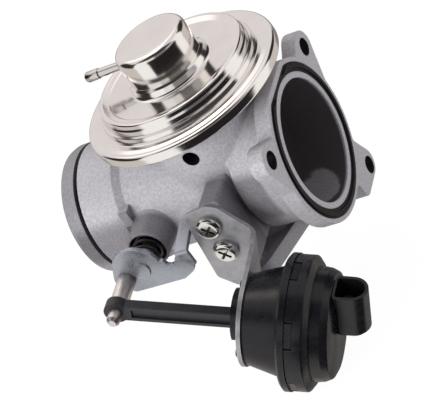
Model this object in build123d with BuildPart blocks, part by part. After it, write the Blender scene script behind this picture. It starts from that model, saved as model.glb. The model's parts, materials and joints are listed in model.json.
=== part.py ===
"""Vacuum-operated exhaust gas recirculation valve with a throttle flap, as a bench assembly.

Frame, in millimetres: the origin is the centre of the manifold bore on the flange face,
+X points out of the manifold flange and +Z runs up the poppet stem through the vacuum
capsule.  The lever side of the valve faces -Y.
"""
from build123d import *
from math import cos, radians, sin
import os

os.makedirs("parts", exist_ok=True)

# ---------------------------------------------------------------- driving dimensions
# intake duct, along X
BORE_R = 29.0            # manifold end
THROTTLE_R = 25.5        # bore that the flap turns in
DUCT_R = 28.6            # outside of the throttle section
NECK_R = 32.4            # outside of the manifold section
SPIGOT_R = 31.3          # hose spigot
HOSE_END_X = -120.0
SHOULDER_X = -90.0
NECK_X = -31.5
O_RING_X = -110.0
O_RING_D = 1.8          # also the depth of its groove, so a hose slides over it

# manifold flange, in the plane X = 0
FLANGE_R = 38.6
FLANGE_T = 8.0
FLANGE_TOP_Z = 36.8      # flattened under the capsule
BOLT_D = 8.4
BOLTS = ((39.0, 23.5), (-39.0, 23.5), (28.0, -42.1))
EAR_R = 7.9
EAR_ROOT = (24.0, 8.0, 15.0)     # y, z and radius of each upper ear's foot
FLANGE_NOOKS = ((27.8, 26.7), (-27.8, 26.7), (38.4, 3.5), (-38.4, 3.5), (28.4, -26.2), (10.0, -37.3))
NOOK_R = 2.0
GASKET_R = 36.4
GASKET_IN_R = 31.8
GASKET_FLAT_Z = 33.8
GROOVE_D = 3.0

# poppet and vacuum capsule, along Z
CAPSULE_X = -40.6
PEDESTAL_R = 27.4
PEDESTAL_DRAFT = 1.6
PEDESTAL_TOP = 40.4
CHAMBER_FLOOR = 29.5
CHAMBER_R = 24.0
COLUMN_R = 9.5
CAPSULE_SCREW_R = 20.0
VENT_D = 7.6
VENT_Z = 29.7
PORT_R = 16.0
EXHAUST_TOP_Z = -29.0
EXHAUST_T = 8.0
EXHAUST_R = 21.5
EXHAUST_EAR_R = 9.0
EXHAUST_PITCH = 66.0
STEM_D = 6.0
GUIDE_R = 7.0
GUIDE_TOP_Z = 42.6
POPPET_R = 13.4
SEAT_IN_R = 12.0
SEAT_TOP_Z = -28.5
SHEET = 1.0
RIM_R = 48.2
RIM_Z = 47.0             # underside of the base dish's rim
RIM_TOP_Z = 50.2
DIAPHRAGM_T = 0.9
PLATES_Z = 44.2          # underside of the diaphragm plates
KNOB_R = 17.7
KNOB_TOP_Z = 78.8
NIPPLE_Z = 69.7

# throttle flap, lever and pin; the shaft runs along Y
FLAP_X = -78.8
SHAFT_D = 7.0
BOSS_R = 9.8
BOSS_DRAFT = 2.0
BOSS_FACE_Y = -42.7
MOUTH_R = 8.6
MOUTH_FLOOR_Y = -35.5
REAR_BOSS_R = 8.5
REAR_FACE_Y = 38.0
BUSH_R = 5.5
BUSH_L = 6.0
FLAP_R = 25.15
FLAP_T = 1.8
LUG = (-87.4, 10.5)      # x and z of the stop lug
LEVER_Y = -54.0          # back of the lever plate
LEVER_T = 2.0
TAB_DX = 19.6
TAB_W = 6.6
TAB_END = (-36.5, 6.5)   # y and z of the tab's far top edge
PIN_DX = -9.6
PIN_DZ = -2.9
PIN_SHOULDER_D = 8.2
SHAFT_HEAD_R = 4.6
PIN_D = 6.0
PIN_TIP_Y = -83.5

# vacuum actuator, along a line 25 degrees below +X
PULL_ANGLE = 25.0
ROD_Y = -74.4
EYE_R = 5.6
ROD_H = 8.0
ROD_T = 5.0
PAD_Y = -45.0            # back of the bracket pad
PLATE_AT = 58.4          # bracket plate, measured from the pin along the pull line
PLATE_T = 1.9
PLATE_R = 20.9
DRUM_R0 = 19.9
DRUM_R1 = 24.2
DRUM_CONE_END = 74.8
RING_AT = 76.8
RING_SPLIT = 80.8
RING_END = 88.4
RING_R = 30.2
CAP_R = 24.6
CAP_RING_R = 29.7
CAP_END = 99.6
WALL = 1.8
PISTON_AT = 64.0
SHROUD_END = 113.6
SHROUD_R = 7.1
SHROUD_FOOT = -0.6
SHROUD_TOP = 23.0

NECK_OUT_R = 12.0
NECK_IN_R = 10.2
NECK_SHIFT = 1.8         # the neck sits a little above the rod
NECK_L = 4.4
HOOD_FOOT = -2.0         # below this the neck ends near the plate
BEND_R = 2.0
BRACKET_SCREWS = ((-41.2, 5.6), (-41.2, -9.1))
SCREW_HEAD_R = 5.9
RIVET_PITCH_R = 16.6
RIVET_ANGLE = 105
RIVET_R = 1.5
RIVET_HEAD_R = 2.4
SNAPS = 6
SNAP_ANGLE = -4
WINDOW_W = 12.0
WINDOW_L = 3.6

RUN = 0.05               # running fit, on the radius

pull = radians(PULL_ANGLE)
ALONG = (cos(pull), 0, -sin(pull))
UPWARD = (sin(pull), 0, cos(pull))
PIN_X = FLAP_X + PIN_DX
PIN_Z = PIN_DZ
EXHAUST_FACE_Z = EXHAUST_TOP_Z - EXHAUST_T
PLATE_END = PLATE_AT + PLATE_T
PAD_Y_LOCAL = ROD_Y - PAD_Y + 2.0

STEM_AXIS = Axis((CAPSULE_X, 0, 0), (0, 0, 1))
STEM_MERIDIAN = Plane(origin=(CAPSULE_X, 0, 0), x_dir=(1, 0, 0), z_dir=(0, -1, 0))
PULL_AXIS = Axis((PIN_X, ROD_Y, PIN_Z), ALONG)
PULL_MERIDIAN = Plane(origin=(PIN_X, ROD_Y, PIN_Z), x_dir=ALONG, z_dir=(0, -1, 0))
BEND_PLANE = Plane(origin=(PIN_X, 0, PIN_Z), x_dir=ALONG, z_dir=UPWARD)


def station(distance):
    """Plane across the pull line: x upward, y toward the lever side's viewer."""
    return Plane(
        origin=(PIN_X + ALONG[0] * distance, ROD_Y, PIN_Z + ALONG[2] * distance),
        x_dir=UPWARD,
        z_dir=ALONG,
    )


def wrap(*circles):
    """Flat outline stretched round (u, v, radius) circles."""
    with BuildSketch() as outline:
        for u, v, radius in circles:
            with Locations((u, v)):
                Circle(radius)
        make_hull()
    return outline.sketch


def rim_of(body, axis, at):
    """Outer edges of the faces square to an axis at one place along it."""
    faces = body.faces().filter_by(axis).filter_by_position(axis, at - 0.05, at + 0.05)
    return ShapeList(edge for face in faces for edge in face.outer_wire().edges())


def meeting_lines(body, low, high):
    """Edges where curved forms meet, with their middles between two corners of a box."""
    kinds = (GeomType.BSPLINE, GeomType.HYPERBOLA)
    return body.edges().filter_by(
        lambda edge: edge.geom_type in kinds
        and all(a < b < c for a, b, c in zip(low, edge.center(), high))
    )


def finish(piece, name):
    """Label a finished piece and write its STEP file."""
    piece.part.label = name
    export_step(piece.part, f"parts/{name}.step")
    print(f"{name}: {len(piece.part.solids())} solid(s), {piece.part.volume / 1000:.2f} cm3")


# ---------------------------------------------------------------- valve housing
with BuildPart() as valve_housing:
    # duct: hose spigot, throttle section and manifold neck in one turned outline
    with BuildSketch(Plane.XY):
        with BuildLine():
            Polyline(
                (HOSE_END_X, 0),
                (HOSE_END_X, SPIGOT_R - 2.8),
                (HOSE_END_X + 1.4, SPIGOT_R - 0.9),
                (HOSE_END_X + 4.0, SPIGOT_R),
                (SHOULDER_X, SPIGOT_R),
                (SHOULDER_X + 3.2, DUCT_R),
                (NECK_X, DUCT_R),
                (NECK_X + 3.0, NECK_R),
                (-FLANGE_T, NECK_R),
                (-FLANGE_T, 0),
                close=True,
            )
        make_face()
    revolve(axis=Axis.X)

    # manifold flange: round body, two ears under the flat top and a block ear below
    with BuildSketch(Plane.YZ) as flange:
        Circle(FLANGE_R)
        root_y, root_z, root_r = EAR_ROOT
        for y, z in BOLTS[:2]:
            add(wrap((y, z, EAR_R), (y * root_y / abs(y), root_z, root_r)))
        y, z = BOLTS[2]
        add(wrap((y, z + 1.2, EAR_R - 0.9), (14.2, z - 1.6, 4.2), (14.2, -30, 4.2), (22.5, -29, 6.5)))
        with Locations((0, FLANGE_TOP_Z)):
            Rectangle(160, 40, align=(Align.CENTER, Align.MIN), mode=Mode.SUBTRACT)
        for nook in FLANGE_NOOKS:
            fillet(flange.vertices().sort_by_distance((*nook, 0))[0], NOOK_R)
    extrude(amount=-FLANGE_T)
    fillet(rim_of(valve_housing, Axis.X, 0), 0.6)
    fillet(rim_of(valve_housing, Axis.X, -FLANGE_T), 1.2)
    neck_root = valve_housing.edges().filter_by(GeomType.CIRCLE).filter_by(
        lambda edge: abs(edge.radius - NECK_R) < 0.01 and edge.center().X > -FLANGE_T - 1
    )
    fillet(neck_root, 2.5)

    # drafted pedestal of the capsule, and the exhaust inlet below it
    with BuildSketch(Plane.XY):
        with Locations((CAPSULE_X, 0)):
            Circle(PEDESTAL_R)
    extrude(amount=PEDESTAL_TOP, taper=-PEDESTAL_DRAFT)
    fillet(meeting_lines(valve_housing, (-75, -30, 15), (-10, 30, 35)), 1.5)
    with BuildSketch(Plane.XY.offset(EXHAUST_FACE_Z)):
        with Locations((CAPSULE_X, 0)):
            Circle(EXHAUST_R - 0.6)
    extrude(amount=-EXHAUST_FACE_Z)
    with BuildSketch(Plane.XY.offset(EXHAUST_TOP_Z)):
        for side in (-EXHAUST_PITCH / 2, EXHAUST_PITCH / 2):
            add(wrap((CAPSULE_X, 0, EXHAUST_R), (CAPSULE_X, side, EXHAUST_EAR_R)))
    extrude(amount=-EXHAUST_T)
    fillet(rim_of(valve_housing, Axis.Z, EXHAUST_FACE_Z), 0.8)

    # lever-side shaft boss and the closed boss opposite
    with BuildSketch(Plane.XZ.offset(18)):
        with Locations((FLAP_X, 0)):
            Circle(BOSS_R + 0.9)
    extrude(amount=-BOSS_FACE_Y - 18, taper=BOSS_DRAFT)
    fillet(rim_of(valve_housing, Axis.Y, BOSS_FACE_Y), 0.8)
    with BuildSketch(Plane.XZ.offset(-REAR_FACE_Y)):
        with Locations((FLAP_X, 0)):
            Circle(REAR_BOSS_R)
    extrude(amount=REAR_FACE_Y - 18)
    fillet(meeting_lines(valve_housing, (-90, 26, -12), (-66, 32, 12)), 1.0)

    # pad that carries the actuator bracket, with a rib up the pedestal
    with BuildSketch(Plane.XZ.offset(20)):
        add(wrap(*((x, z, 6.6) for x, z in BRACKET_SCREWS)))
        with Locations((-36.6, -3.4)):
            RectangleRounded(10.4, 39.2, 1.8)
    extrude(amount=-PAD_Y - 20)

    # stop lug beside the boss
    with BuildSketch(Plane.XZ.offset(24)):
        with Locations(LUG):
            Rectangle(4.6, 8.0)
    extrude(amount=6.4)

    # throttle bore, opening out to the manifold bore
    with BuildSketch(Plane.XY):
        with BuildLine():
            Polyline(
                (HOSE_END_X - 1, 0),
                (HOSE_END_X - 1, THROTTLE_R + 1.2),
                (HOSE_END_X, THROTTLE_R + 1.2),
                (HOSE_END_X + 1.2, THROTTLE_R),
                (-35.0, THROTTLE_R),
                (-24.0, BORE_R),
                (1, BORE_R),
                (1, 0),
                close=True,
            )
        make_face()
    revolve(axis=Axis.X, mode=Mode.SUBTRACT)

    # gasket groove, flattened under the capsule, and the hose ring groove
    with BuildSketch(Plane.YZ):
        Circle(GASKET_R)
        with Locations((0, GASKET_FLAT_Z)):
            Rectangle(160, 40, align=(Align.CENTER, Align.MIN), mode=Mode.SUBTRACT)
        Circle(GASKET_IN_R, mode=Mode.SUBTRACT)
    extrude(amount=-GROOVE_D, mode=Mode.SUBTRACT)
    with BuildSketch(Plane.XY):
        with Locations((O_RING_X, SPIGOT_R)):
            Rectangle(O_RING_D + 0.4, 2 * O_RING_D)
    revolve(axis=Axis.X, mode=Mode.SUBTRACT)

    # flange bolts
    with BuildSketch(Plane.YZ):
        with Locations(*BOLTS):
            Circle(BOLT_D / 2)
    extrude(amount=-FLANGE_T, mode=Mode.SUBTRACT)

    # capsule chamber with screw bosses, vent and the stem guide's hole
    with BuildSketch(Plane.XY.offset(CHAMBER_FLOOR)):
        with Locations((CAPSULE_X, 0)):
            Circle(CHAMBER_R)
            Circle(COLUMN_R, mode=Mode.SUBTRACT)
            with PolarLocations(CAPSULE_SCREW_R, 3, start_angle=90):
                Circle(4.6, mode=Mode.SUBTRACT)
    extrude(amount=PEDESTAL_TOP - CHAMBER_FLOOR, mode=Mode.SUBTRACT)
    with BuildSketch(Plane.XY.offset(PEDESTAL_TOP)):
        with Locations((CAPSULE_X, 0)):
            with PolarLocations(CAPSULE_SCREW_R, 3, start_angle=90):
                Circle(2.0)
    extrude(amount=-9, mode=Mode.SUBTRACT)
    with BuildSketch(Plane.XZ.offset(32)):
        with Locations((CAPSULE_X, VENT_Z)):
            Circle(VENT_D / 2)
    extrude(amount=-16, mode=Mode.SUBTRACT)
    with BuildSketch(Plane.XY.offset(PEDESTAL_TOP)):
        with Locations((CAPSULE_X, 0)):
            Circle(GUIDE_R)
    extrude(amount=-PEDESTAL_TOP + 10, mode=Mode.SUBTRACT)

    # exhaust port and its two bolt holes
    with BuildSketch(Plane.XY.offset(EXHAUST_FACE_Z)):
        with Locations((CAPSULE_X, 0)):
            Circle(PORT_R)
    extrude(amount=-EXHAUST_FACE_Z - 12, mode=Mode.SUBTRACT)
    with BuildSketch(Plane.XY.offset(EXHAUST_FACE_Z)):
        for side in (-EXHAUST_PITCH / 2, EXHAUST_PITCH / 2):
            with Locations((CAPSULE_X, side)):
                Circle(BOLT_D / 2)
    extrude(amount=EXHAUST_T, mode=Mode.SUBTRACT)

    # shaft bore with its bush pockets, the spring mouth and the rear plug's pocket
    for reach, radius, depth in (
        (-BOSS_FACE_Y, MOUTH_R, -BOSS_FACE_Y + MOUTH_FLOOR_Y),
        (-MOUTH_FLOOR_Y, BUSH_R, BUSH_L),
        (-BOSS_FACE_Y, SHAFT_D / 2 + 0.4, -BOSS_FACE_Y + REAR_FACE_Y),
        (-30, BUSH_R, 7.0),
        (-REAR_FACE_Y + 2, 6.5, 2.0),
    ):
        with BuildSketch(Plane.XZ.offset(reach)):
            with Locations((FLAP_X, 0)):
                Circle(radius)
        extrude(amount=-depth, mode=Mode.SUBTRACT)

    # tapped holes for the bracket screws
    with BuildSketch(Plane.XZ.offset(-PAD_Y)):
        with Locations(*BRACKET_SCREWS):
            Circle(2.5)
    extrude(amount=-12, mode=Mode.SUBTRACT)
finish(valve_housing, "valve_housing")

# ---------------------------------------------------------------- seals on the duct
with BuildPart() as manifold_gasket:
    with BuildSketch(Plane.YZ.offset(-GROOVE_D)):
        Circle(GASKET_R - 0.1)
        with Locations((0, GASKET_FLAT_Z - 0.1)):
            Rectangle(160, 40, align=(Align.CENTER, Align.MIN), mode=Mode.SUBTRACT)
        Circle(GASKET_IN_R + 0.1, mode=Mode.SUBTRACT)
    extrude(amount=GROOVE_D)
    with BuildSketch(Plane.YZ):
        Circle(35.4)
        with Locations((0, GASKET_FLAT_Z - 1.5)):
            Rectangle(160, 40, align=(Align.CENTER, Align.MIN), mode=Mode.SUBTRACT)
        Circle(33.4, mode=Mode.SUBTRACT)
    extrude(amount=0.7)
finish(manifold_gasket, "manifold_gasket")

with BuildPart() as hose_o_ring:
    with BuildSketch(Plane.XY):
        with Locations((O_RING_X, SPIGOT_R - O_RING_D / 2)):
            Circle(O_RING_D / 2)
    revolve(axis=Axis.X)
finish(hose_o_ring, "hose_o_ring")

# ---------------------------------------------------------------- flap shaft bearings
def bush(name, start, radius, bore, length):
    """Plain ring on the flap shaft, from Y = start toward the lever side."""
    with BuildPart() as ring:
        with BuildSketch(Plane.XZ.offset(-start)):
            with Locations((FLAP_X, 0)):
                Circle(radius)
                Circle(bore, mode=Mode.SUBTRACT)
        extrude(amount=length)
    finish(ring, name)


bush("shaft_bush_front", MOUTH_FLOOR_Y + BUSH_L, BUSH_R, SHAFT_D / 2 + RUN, BUSH_L)
bush("shaft_bush_rear", 36.0, BUSH_R, SHAFT_D / 2 + RUN, BUSH_L)
bush("shaft_seal", MOUTH_FLOOR_Y, MOUTH_R, SHAFT_D / 2 + 0.1, 1.6)

with BuildPart() as shaft_end_plug:
    with BuildSketch(Plane.XZ.offset(-REAR_FACE_Y)):
        with Locations((FLAP_X, 0)):
            Circle(6.5)
    extrude(amount=1.6)
    with BuildSketch(Plane.XZ.offset(-REAR_FACE_Y)):
        with Locations((FLAP_X, 0)):
            Circle(4.6)
    extrude(amount=0.9, mode=Mode.SUBTRACT)
finish(shaft_end_plug, "shaft_end_plug")

# ---------------------------------------------------------------- flap, shaft and lever
SLOT_HALF = FLAP_R + 0.1
FLAP_SCREWS = ((FLAP_X, -12.0), (FLAP_X, 12.0))

with BuildPart() as flap_shaft:
    with BuildSketch(Plane.XZ.offset(-33.5)):
        with Locations((FLAP_X, 0)):
            Circle(SHAFT_D / 2)
    extrude(amount=33.5 - LEVER_Y)
    with BuildSketch(Plane.XZ.offset(-LEVER_Y)):
        with Locations((FLAP_X, 0)):
            Circle(2.9)
            Rectangle(6, 4.4, mode=Mode.INTERSECT)
    extrude(amount=LEVER_T)
    with BuildSketch(Plane.XZ.offset(-LEVER_Y + LEVER_T)):
        with Locations((FLAP_X, 0)):
            Circle(SHAFT_HEAD_R)
    extrude(amount=0.9, taper=20)
    with BuildSketch(Plane.XY.offset(-FLAP_T / 2)):
        with Locations((FLAP_X, 0)):
            Rectangle(SHAFT_D + 1, 2 * SLOT_HALF)
    extrude(amount=FLAP_T, mode=Mode.SUBTRACT)
    with BuildSketch(Plane.XY.offset(-SHAFT_D)):
        with Locations(*FLAP_SCREWS):
            Circle(1.5)
    extrude(amount=2 * SHAFT_D, mode=Mode.SUBTRACT)
finish(flap_shaft, "flap_shaft")

with BuildPart() as throttle_flap:
    with BuildSketch(Plane.XY.offset(-FLAP_T / 2)):
        with Locations((FLAP_X, 0)):
            Circle(FLAP_R)
        with Locations(*FLAP_SCREWS):
            Circle(1.5, mode=Mode.SUBTRACT)
    extrude(amount=FLAP_T)
finish(throttle_flap, "throttle_flap")

with BuildPart() as flap_screws:
    with BuildSketch(Plane.XY.offset(-SHAFT_D / 2)):
        with Locations(*FLAP_SCREWS):
            Circle(1.5)
    extrude(amount=SHAFT_D)
    with BuildSketch(Plane.XY.offset(SHAFT_D / 2)):
        with Locations(*FLAP_SCREWS):
            Circle(2.8)
    extrude(amount=1.8, taper=12)
    with BuildSketch(Plane.XY.offset(SHAFT_D / 2 + 1.1)):
        with Locations(*FLAP_SCREWS):
            Rectangle(6, 0.8)
    extrude(amount=1, mode=Mode.SUBTRACT)
finish(flap_screws, "flap_screws")

with BuildPart() as throttle_lever:
    # plate: hub, arm to the pin, and a lower arm that carries the spring tab
    with BuildSketch(Plane.XZ.offset(-LEVER_Y)):
        with Locations((FLAP_X, 0)):
            add(wrap((-1.2, 0.8, 12.0), (PIN_DX, PIN_DZ, 6.2), (-8.6, -8.4, 2.4)))
            add(wrap((-8.6, -8.6, 2.4), (16.0, -8.0, 3.4), (20.2, -4.6, 4.8), (3, -3, 6.0)))
            with Locations((TAB_DX, -1.0)):
                Rectangle(TAB_W, 9.0, align=(Align.MIN, Align.CENTER))
            with Locations((14.3, 4.6)):
                SlotCenterToCenter(8.0, 5.2, rotation=108, mode=Mode.SUBTRACT)
            with Locations((0, 0)):
                Circle(2.9, mode=Mode.SUBTRACT)
            with Locations((PIN_DX, PIN_DZ)):
                Circle(2.2, mode=Mode.SUBTRACT)
    extrude(amount=LEVER_T)
    # tab folded back beside the boss, which the return spring's leg hooks on
    with BuildSketch(Plane.YZ.offset(FLAP_X + TAB_DX)):
        with BuildLine():
            Polyline(
                (LEVER_Y - LEVER_T, 3.5 - LEVER_T),
                (LEVER_Y - LEVER_T, 3.5),
                TAB_END,
                (TAB_END[0], TAB_END[1] - LEVER_T),
                close=True,
            )
        make_face()
    extrude(amount=TAB_W)
    bend = throttle_lever.edges().filter_by(Axis.X).filter_by(
        lambda edge: abs(edge.center().Y - LEVER_Y + LEVER_T) < 0.01
        and abs(edge.center().Z - 3.5) < 0.01
    )
    fillet(bend, 1.9)
finish(throttle_lever, "throttle_lever")

with BuildPart() as lever_pin:
    # riveted foot, shoulder, bearing length for the rod's eye and a chamfered tip
    with BuildSketch(Plane(origin=(PIN_X, 0, PIN_Z), x_dir=(1, 0, 0), z_dir=(0, 0, 1))):
        with BuildLine():
            Polyline(
                (0, LEVER_Y + 0.9),
                (3.4, LEVER_Y + 0.9),
                (3.4, LEVER_Y),
                (2.2, LEVER_Y),
                (2.2, LEVER_Y - LEVER_T),
                (PIN_SHOULDER_D / 2, LEVER_Y - LEVER_T),
                (PIN_SHOULDER_D / 2, ROD_Y + ROD_T / 2 + 0.4),
                (PIN_D / 2, ROD_Y + ROD_T / 2 + 0.4),
                (PIN_D / 2, PIN_TIP_Y + 1.6),
                (PIN_D / 2 - 1.2, PIN_TIP_Y),
                (0, PIN_TIP_Y),
                close=True,
            )
        make_face()
    revolve(axis=Axis((PIN_X, 0, PIN_Z), (0, 1, 0)))
finish(lever_pin, "lever_pin")


def coil_spring(name, start, direction, radius, wire_r, pitch, turns):
    """Round wire wound on a helix from the start point along the direction."""
    coil = Helix(pitch, pitch * turns, radius, center=start, direction=direction)
    with BuildPart() as spring:
        with BuildLine():
            add(coil)
        with BuildSketch(Plane(origin=coil @ 0, z_dir=coil % 0)):
            Circle(wire_r)
        sweep(path=coil)
    finish(spring, name)


coil_spring("return_spring", (FLAP_X, -38.2, 0), (0, -1, 0), 6.6, 0.7, 2.6, 5)

# ---------------------------------------------------------------- poppet valve
with BuildPart() as valve_seat:
    with BuildSketch(STEM_MERIDIAN):
        with BuildLine():
            Polyline(
                (SEAT_IN_R, EXHAUST_FACE_Z),
                (PORT_R, EXHAUST_FACE_Z),
                (PORT_R, SEAT_TOP_Z),
                (SEAT_IN_R + 1.5, SEAT_TOP_Z),
                (SEAT_IN_R, SEAT_TOP_Z - 1.5),
                close=True,
            )
        make_face()
    revolve(axis=STEM_AXIS)
finish(valve_seat, "valve_seat")

with BuildPart() as valve_poppet:
    with BuildSketch(STEM_MERIDIAN):
        with BuildLine():
            Polyline(
                (0, SEAT_TOP_Z - 1.1),
                (POPPET_R - 1.45, SEAT_TOP_Z - 1.1),
                (POPPET_R, SEAT_TOP_Z + 0.35),
                (POPPET_R, SEAT_TOP_Z + 1.9),
                (6.0, SEAT_TOP_Z + 3.0),
                (4.4, SEAT_TOP_Z + 6.0),
                (STEM_D / 2, SEAT_TOP_Z + 6.0),
                (STEM_D / 2, SEAT_TOP_Z + 0.5),
                (0, SEAT_TOP_Z + 0.5),
                close=True,
            )
        make_face()
    revolve(axis=STEM_AXIS)
finish(valve_poppet, "valve_poppet")

with BuildPart() as valve_stem:
    with BuildSketch(STEM_MERIDIAN):
        with BuildLine():
            Polyline(
                (0, SEAT_TOP_Z + 0.5),
                (STEM_D / 2, SEAT_TOP_Z + 0.5),
                (STEM_D / 2, PLATES_Z),
                (2.2, PLATES_Z),
                (2.2, PLATES_Z + 4.2),
                (3.8, PLATES_Z + 4.2),
                (3.0, PLATES_Z + 5.6),
                (0, PLATES_Z + 5.6),
                close=True,
            )
        make_face()
    revolve(axis=STEM_AXIS)
finish(valve_stem, "valve_stem")

with BuildPart() as stem_guide:
    with BuildSketch(STEM_MERIDIAN):
        with BuildLine():
            Polyline(
                (STEM_D / 2 + RUN, 21.5),
                (GUIDE_R - 1.2, 21.5),
                (GUIDE_R, 23.0),
                (GUIDE_R, PEDESTAL_TOP),
                (GUIDE_R + 1.4, PEDESTAL_TOP),
                (GUIDE_R + 1.4, PEDESTAL_TOP + 1.0),
                (GUIDE_R - 1.4, GUIDE_TOP_Z),
                (STEM_D / 2 + RUN, GUIDE_TOP_Z),
                close=True,
            )
        make_face()
    revolve(axis=STEM_AXIS)
finish(stem_guide, "stem_guide")


def turned(name, *points):
    """Ring turned about the stem axis from its (radius, height) outline."""
    with BuildPart() as ring:
        with BuildSketch(STEM_MERIDIAN):
            with BuildLine():
                Polyline(*points, close=True)
            make_face()
        revolve(axis=STEM_AXIS)
    finish(ring, name)


turned(
    "stem_washer",
    (2.2, PLATES_Z), (18.0, PLATES_Z), (18.6, PLATES_Z + 0.5), (18.6, PLATES_Z + 1.0),
    (2.2, PLATES_Z + 1.0),
)
turned(
    "spring_plate",
    (2.2, PLATES_Z + 2.2), (24.0, PLATES_Z + 2.2), (26.4, PLATES_Z + 4.6),
    (26.4, PLATES_Z + 7.2), (25.4, PLATES_Z + 7.2), (25.4, PLATES_Z + 5.0),
    (23.6, PLATES_Z + 3.2), (15.2, PLATES_Z + 3.2), (14.6, PLATES_Z + 4.2),
    (2.2, PLATES_Z + 4.2),
)
turned(
    "valve_diaphragm",
    (2.2, PLATES_Z + 1.0), (25.0, PLATES_Z + 1.0), (29.2, PLATES_Z + 5.6),
    (31.6, PLATES_Z + 5.6), (38.4, RIM_Z + SHEET), (47.0, RIM_Z + SHEET),
    (47.0, RIM_Z + SHEET + DIAPHRAGM_T), (38.8, RIM_Z + SHEET + DIAPHRAGM_T), (32.0, PLATES_Z + 6.8),
    (28.7, PLATES_Z + 6.8), (24.5, PLATES_Z + 2.2), (2.2, PLATES_Z + 2.2),
)
coil_spring("valve_spring", (CAPSULE_X, 0, PLATES_Z + 5.4), (0, 0, 1), 12.0, 1.1, 6.4, 4)

# ---------------------------------------------------------------- vacuum capsule shells
with BuildPart() as capsule_base:
    with BuildSketch(STEM_MERIDIAN):
        with BuildLine():
            Polyline(
                (GUIDE_R + 1.5, PEDESTAL_TOP),
                (29.6, PEDESTAL_TOP),
                (38.0, RIM_Z),
                (RIM_R - SHEET - 0.1, RIM_Z),
                (RIM_R - SHEET - 0.1, RIM_Z + SHEET),
                (37.6, RIM_Z + SHEET),
                (29.2, PEDESTAL_TOP + SHEET),
                (GUIDE_R + 1.5, PEDESTAL_TOP + SHEET),
                close=True,
            )
        make_face()
    revolve(axis=STEM_AXIS)
    with BuildSketch(Plane.XY.offset(PEDESTAL_TOP)):
        with Locations((CAPSULE_X, 0)):
            with PolarLocations(CAPSULE_SCREW_R, 3, start_angle=90):
                Circle(2.2)
            with PolarLocations(13.5, 3, start_angle=30):
                Circle(1.8)
    extrude(amount=SHEET, mode=Mode.SUBTRACT)
finish(capsule_base, "capsule_base")

with BuildPart() as capsule_screws:
    with BuildSketch(Plane.XY.offset(PEDESTAL_TOP + SHEET)):
        with Locations((CAPSULE_X, 0)):
            with PolarLocations(CAPSULE_SCREW_R, 3, start_angle=90):
                Circle(3.6)
    extrude(amount=1.6, taper=25)
    with BuildSketch(Plane.XY.offset(PEDESTAL_TOP + SHEET)):
        with Locations((CAPSULE_X, 0)):
            with PolarLocations(CAPSULE_SCREW_R, 3, start_angle=90):
                Circle(2.0)
    extrude(amount=-9 - SHEET)
finish(capsule_screws, "capsule_screws")

with BuildPart() as capsule_cover:
    # pressed cover: stepped dish, flared neck and knob
    with BuildSketch(STEM_MERIDIAN) as dish:
        with BuildLine():
            Polyline(
                (0, RIM_Z + SHEET + DIAPHRAGM_T),
                (46.6, RIM_Z + SHEET + DIAPHRAGM_T),
                (46.4, 51.4),
                (39.4, 52.4),
                (37.6, 55.9),
                (36.5, 56.4),
                (36.6, 59.4),
                (29.0, 58.8),
                (20.4, 60.4),
                (18.9, 62.9),
                (KNOB_R, 63.8),
                (KNOB_R, KNOB_TOP_Z),
                (0, KNOB_TOP_Z),
                close=True,
            )
        make_face()
        for corner, radius in (
            ((46.4, 51.4), 1.6),
            ((39.4, 52.4), 1.2),
            ((36.6, 59.4), 1.3),
            ((29.0, 58.8), 9.0),
            ((20.4, 60.4), 1.5),
            ((KNOB_R, KNOB_TOP_Z), 2.7),
        ):
            fillet(dish.vertices().sort_by_distance((*corner, 0))[0], radius)
    revolve(axis=STEM_AXIS)
    offset(amount=-SHEET, openings=capsule_cover.faces().sort_by(Axis.Z)[0], kind=Kind.INTERSECTION)
    # rim, rolled round the edges of the diaphragm and the base
    with BuildSketch(STEM_MERIDIAN) as rim:
        with BuildLine():
            Polyline(
                (45.4, RIM_Z - SHEET),
                (RIM_R, RIM_Z - SHEET),
                (RIM_R, RIM_TOP_Z),
                (46.0, RIM_TOP_Z),
                (46.0, RIM_Z + SHEET + DIAPHRAGM_T),
                (RIM_R - SHEET, RIM_Z + SHEET + DIAPHRAGM_T),
                (RIM_R - SHEET, RIM_Z),
                (45.4, RIM_Z),
                close=True,
            )
        make_face()
        fillet(rim.vertices().sort_by_distance((RIM_R, RIM_Z - SHEET, 0))[0], 0.9)
        fillet(rim.vertices().sort_by_distance((RIM_R, RIM_TOP_Z, 0))[0], 1.4)
    revolve(axis=STEM_AXIS)
    with BuildSketch(Plane.YZ.offset(CAPSULE_X - KNOB_R - 1)):
        with Locations((0, NIPPLE_Z)):
            Circle(2.1)
    extrude(amount=3, mode=Mode.SUBTRACT)
finish(capsule_cover, "capsule_cover")

with BuildPart() as vacuum_nipple:
    # brazed tube with a thicker hose end
    with BuildSketch(Plane(origin=(CAPSULE_X, 0, NIPPLE_Z), x_dir=(-1, 0, 0), z_dir=(0, 1, 0))):
        with BuildLine():
            Polyline(
                (KNOB_R - 2.4, 1.2),
                (KNOB_R - 2.4, 2.1),
                (31.0, 2.1),
                (31.6, 2.5),
                (37.6, 2.5),
                (38.4, 2.1),
                (38.4, 1.2),
                close=True,
            )
        make_face()
    revolve(axis=Axis((CAPSULE_X, 0, NIPPLE_Z), (-1, 0, 0)))
finish(vacuum_nipple, "vacuum_nipple")

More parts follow.
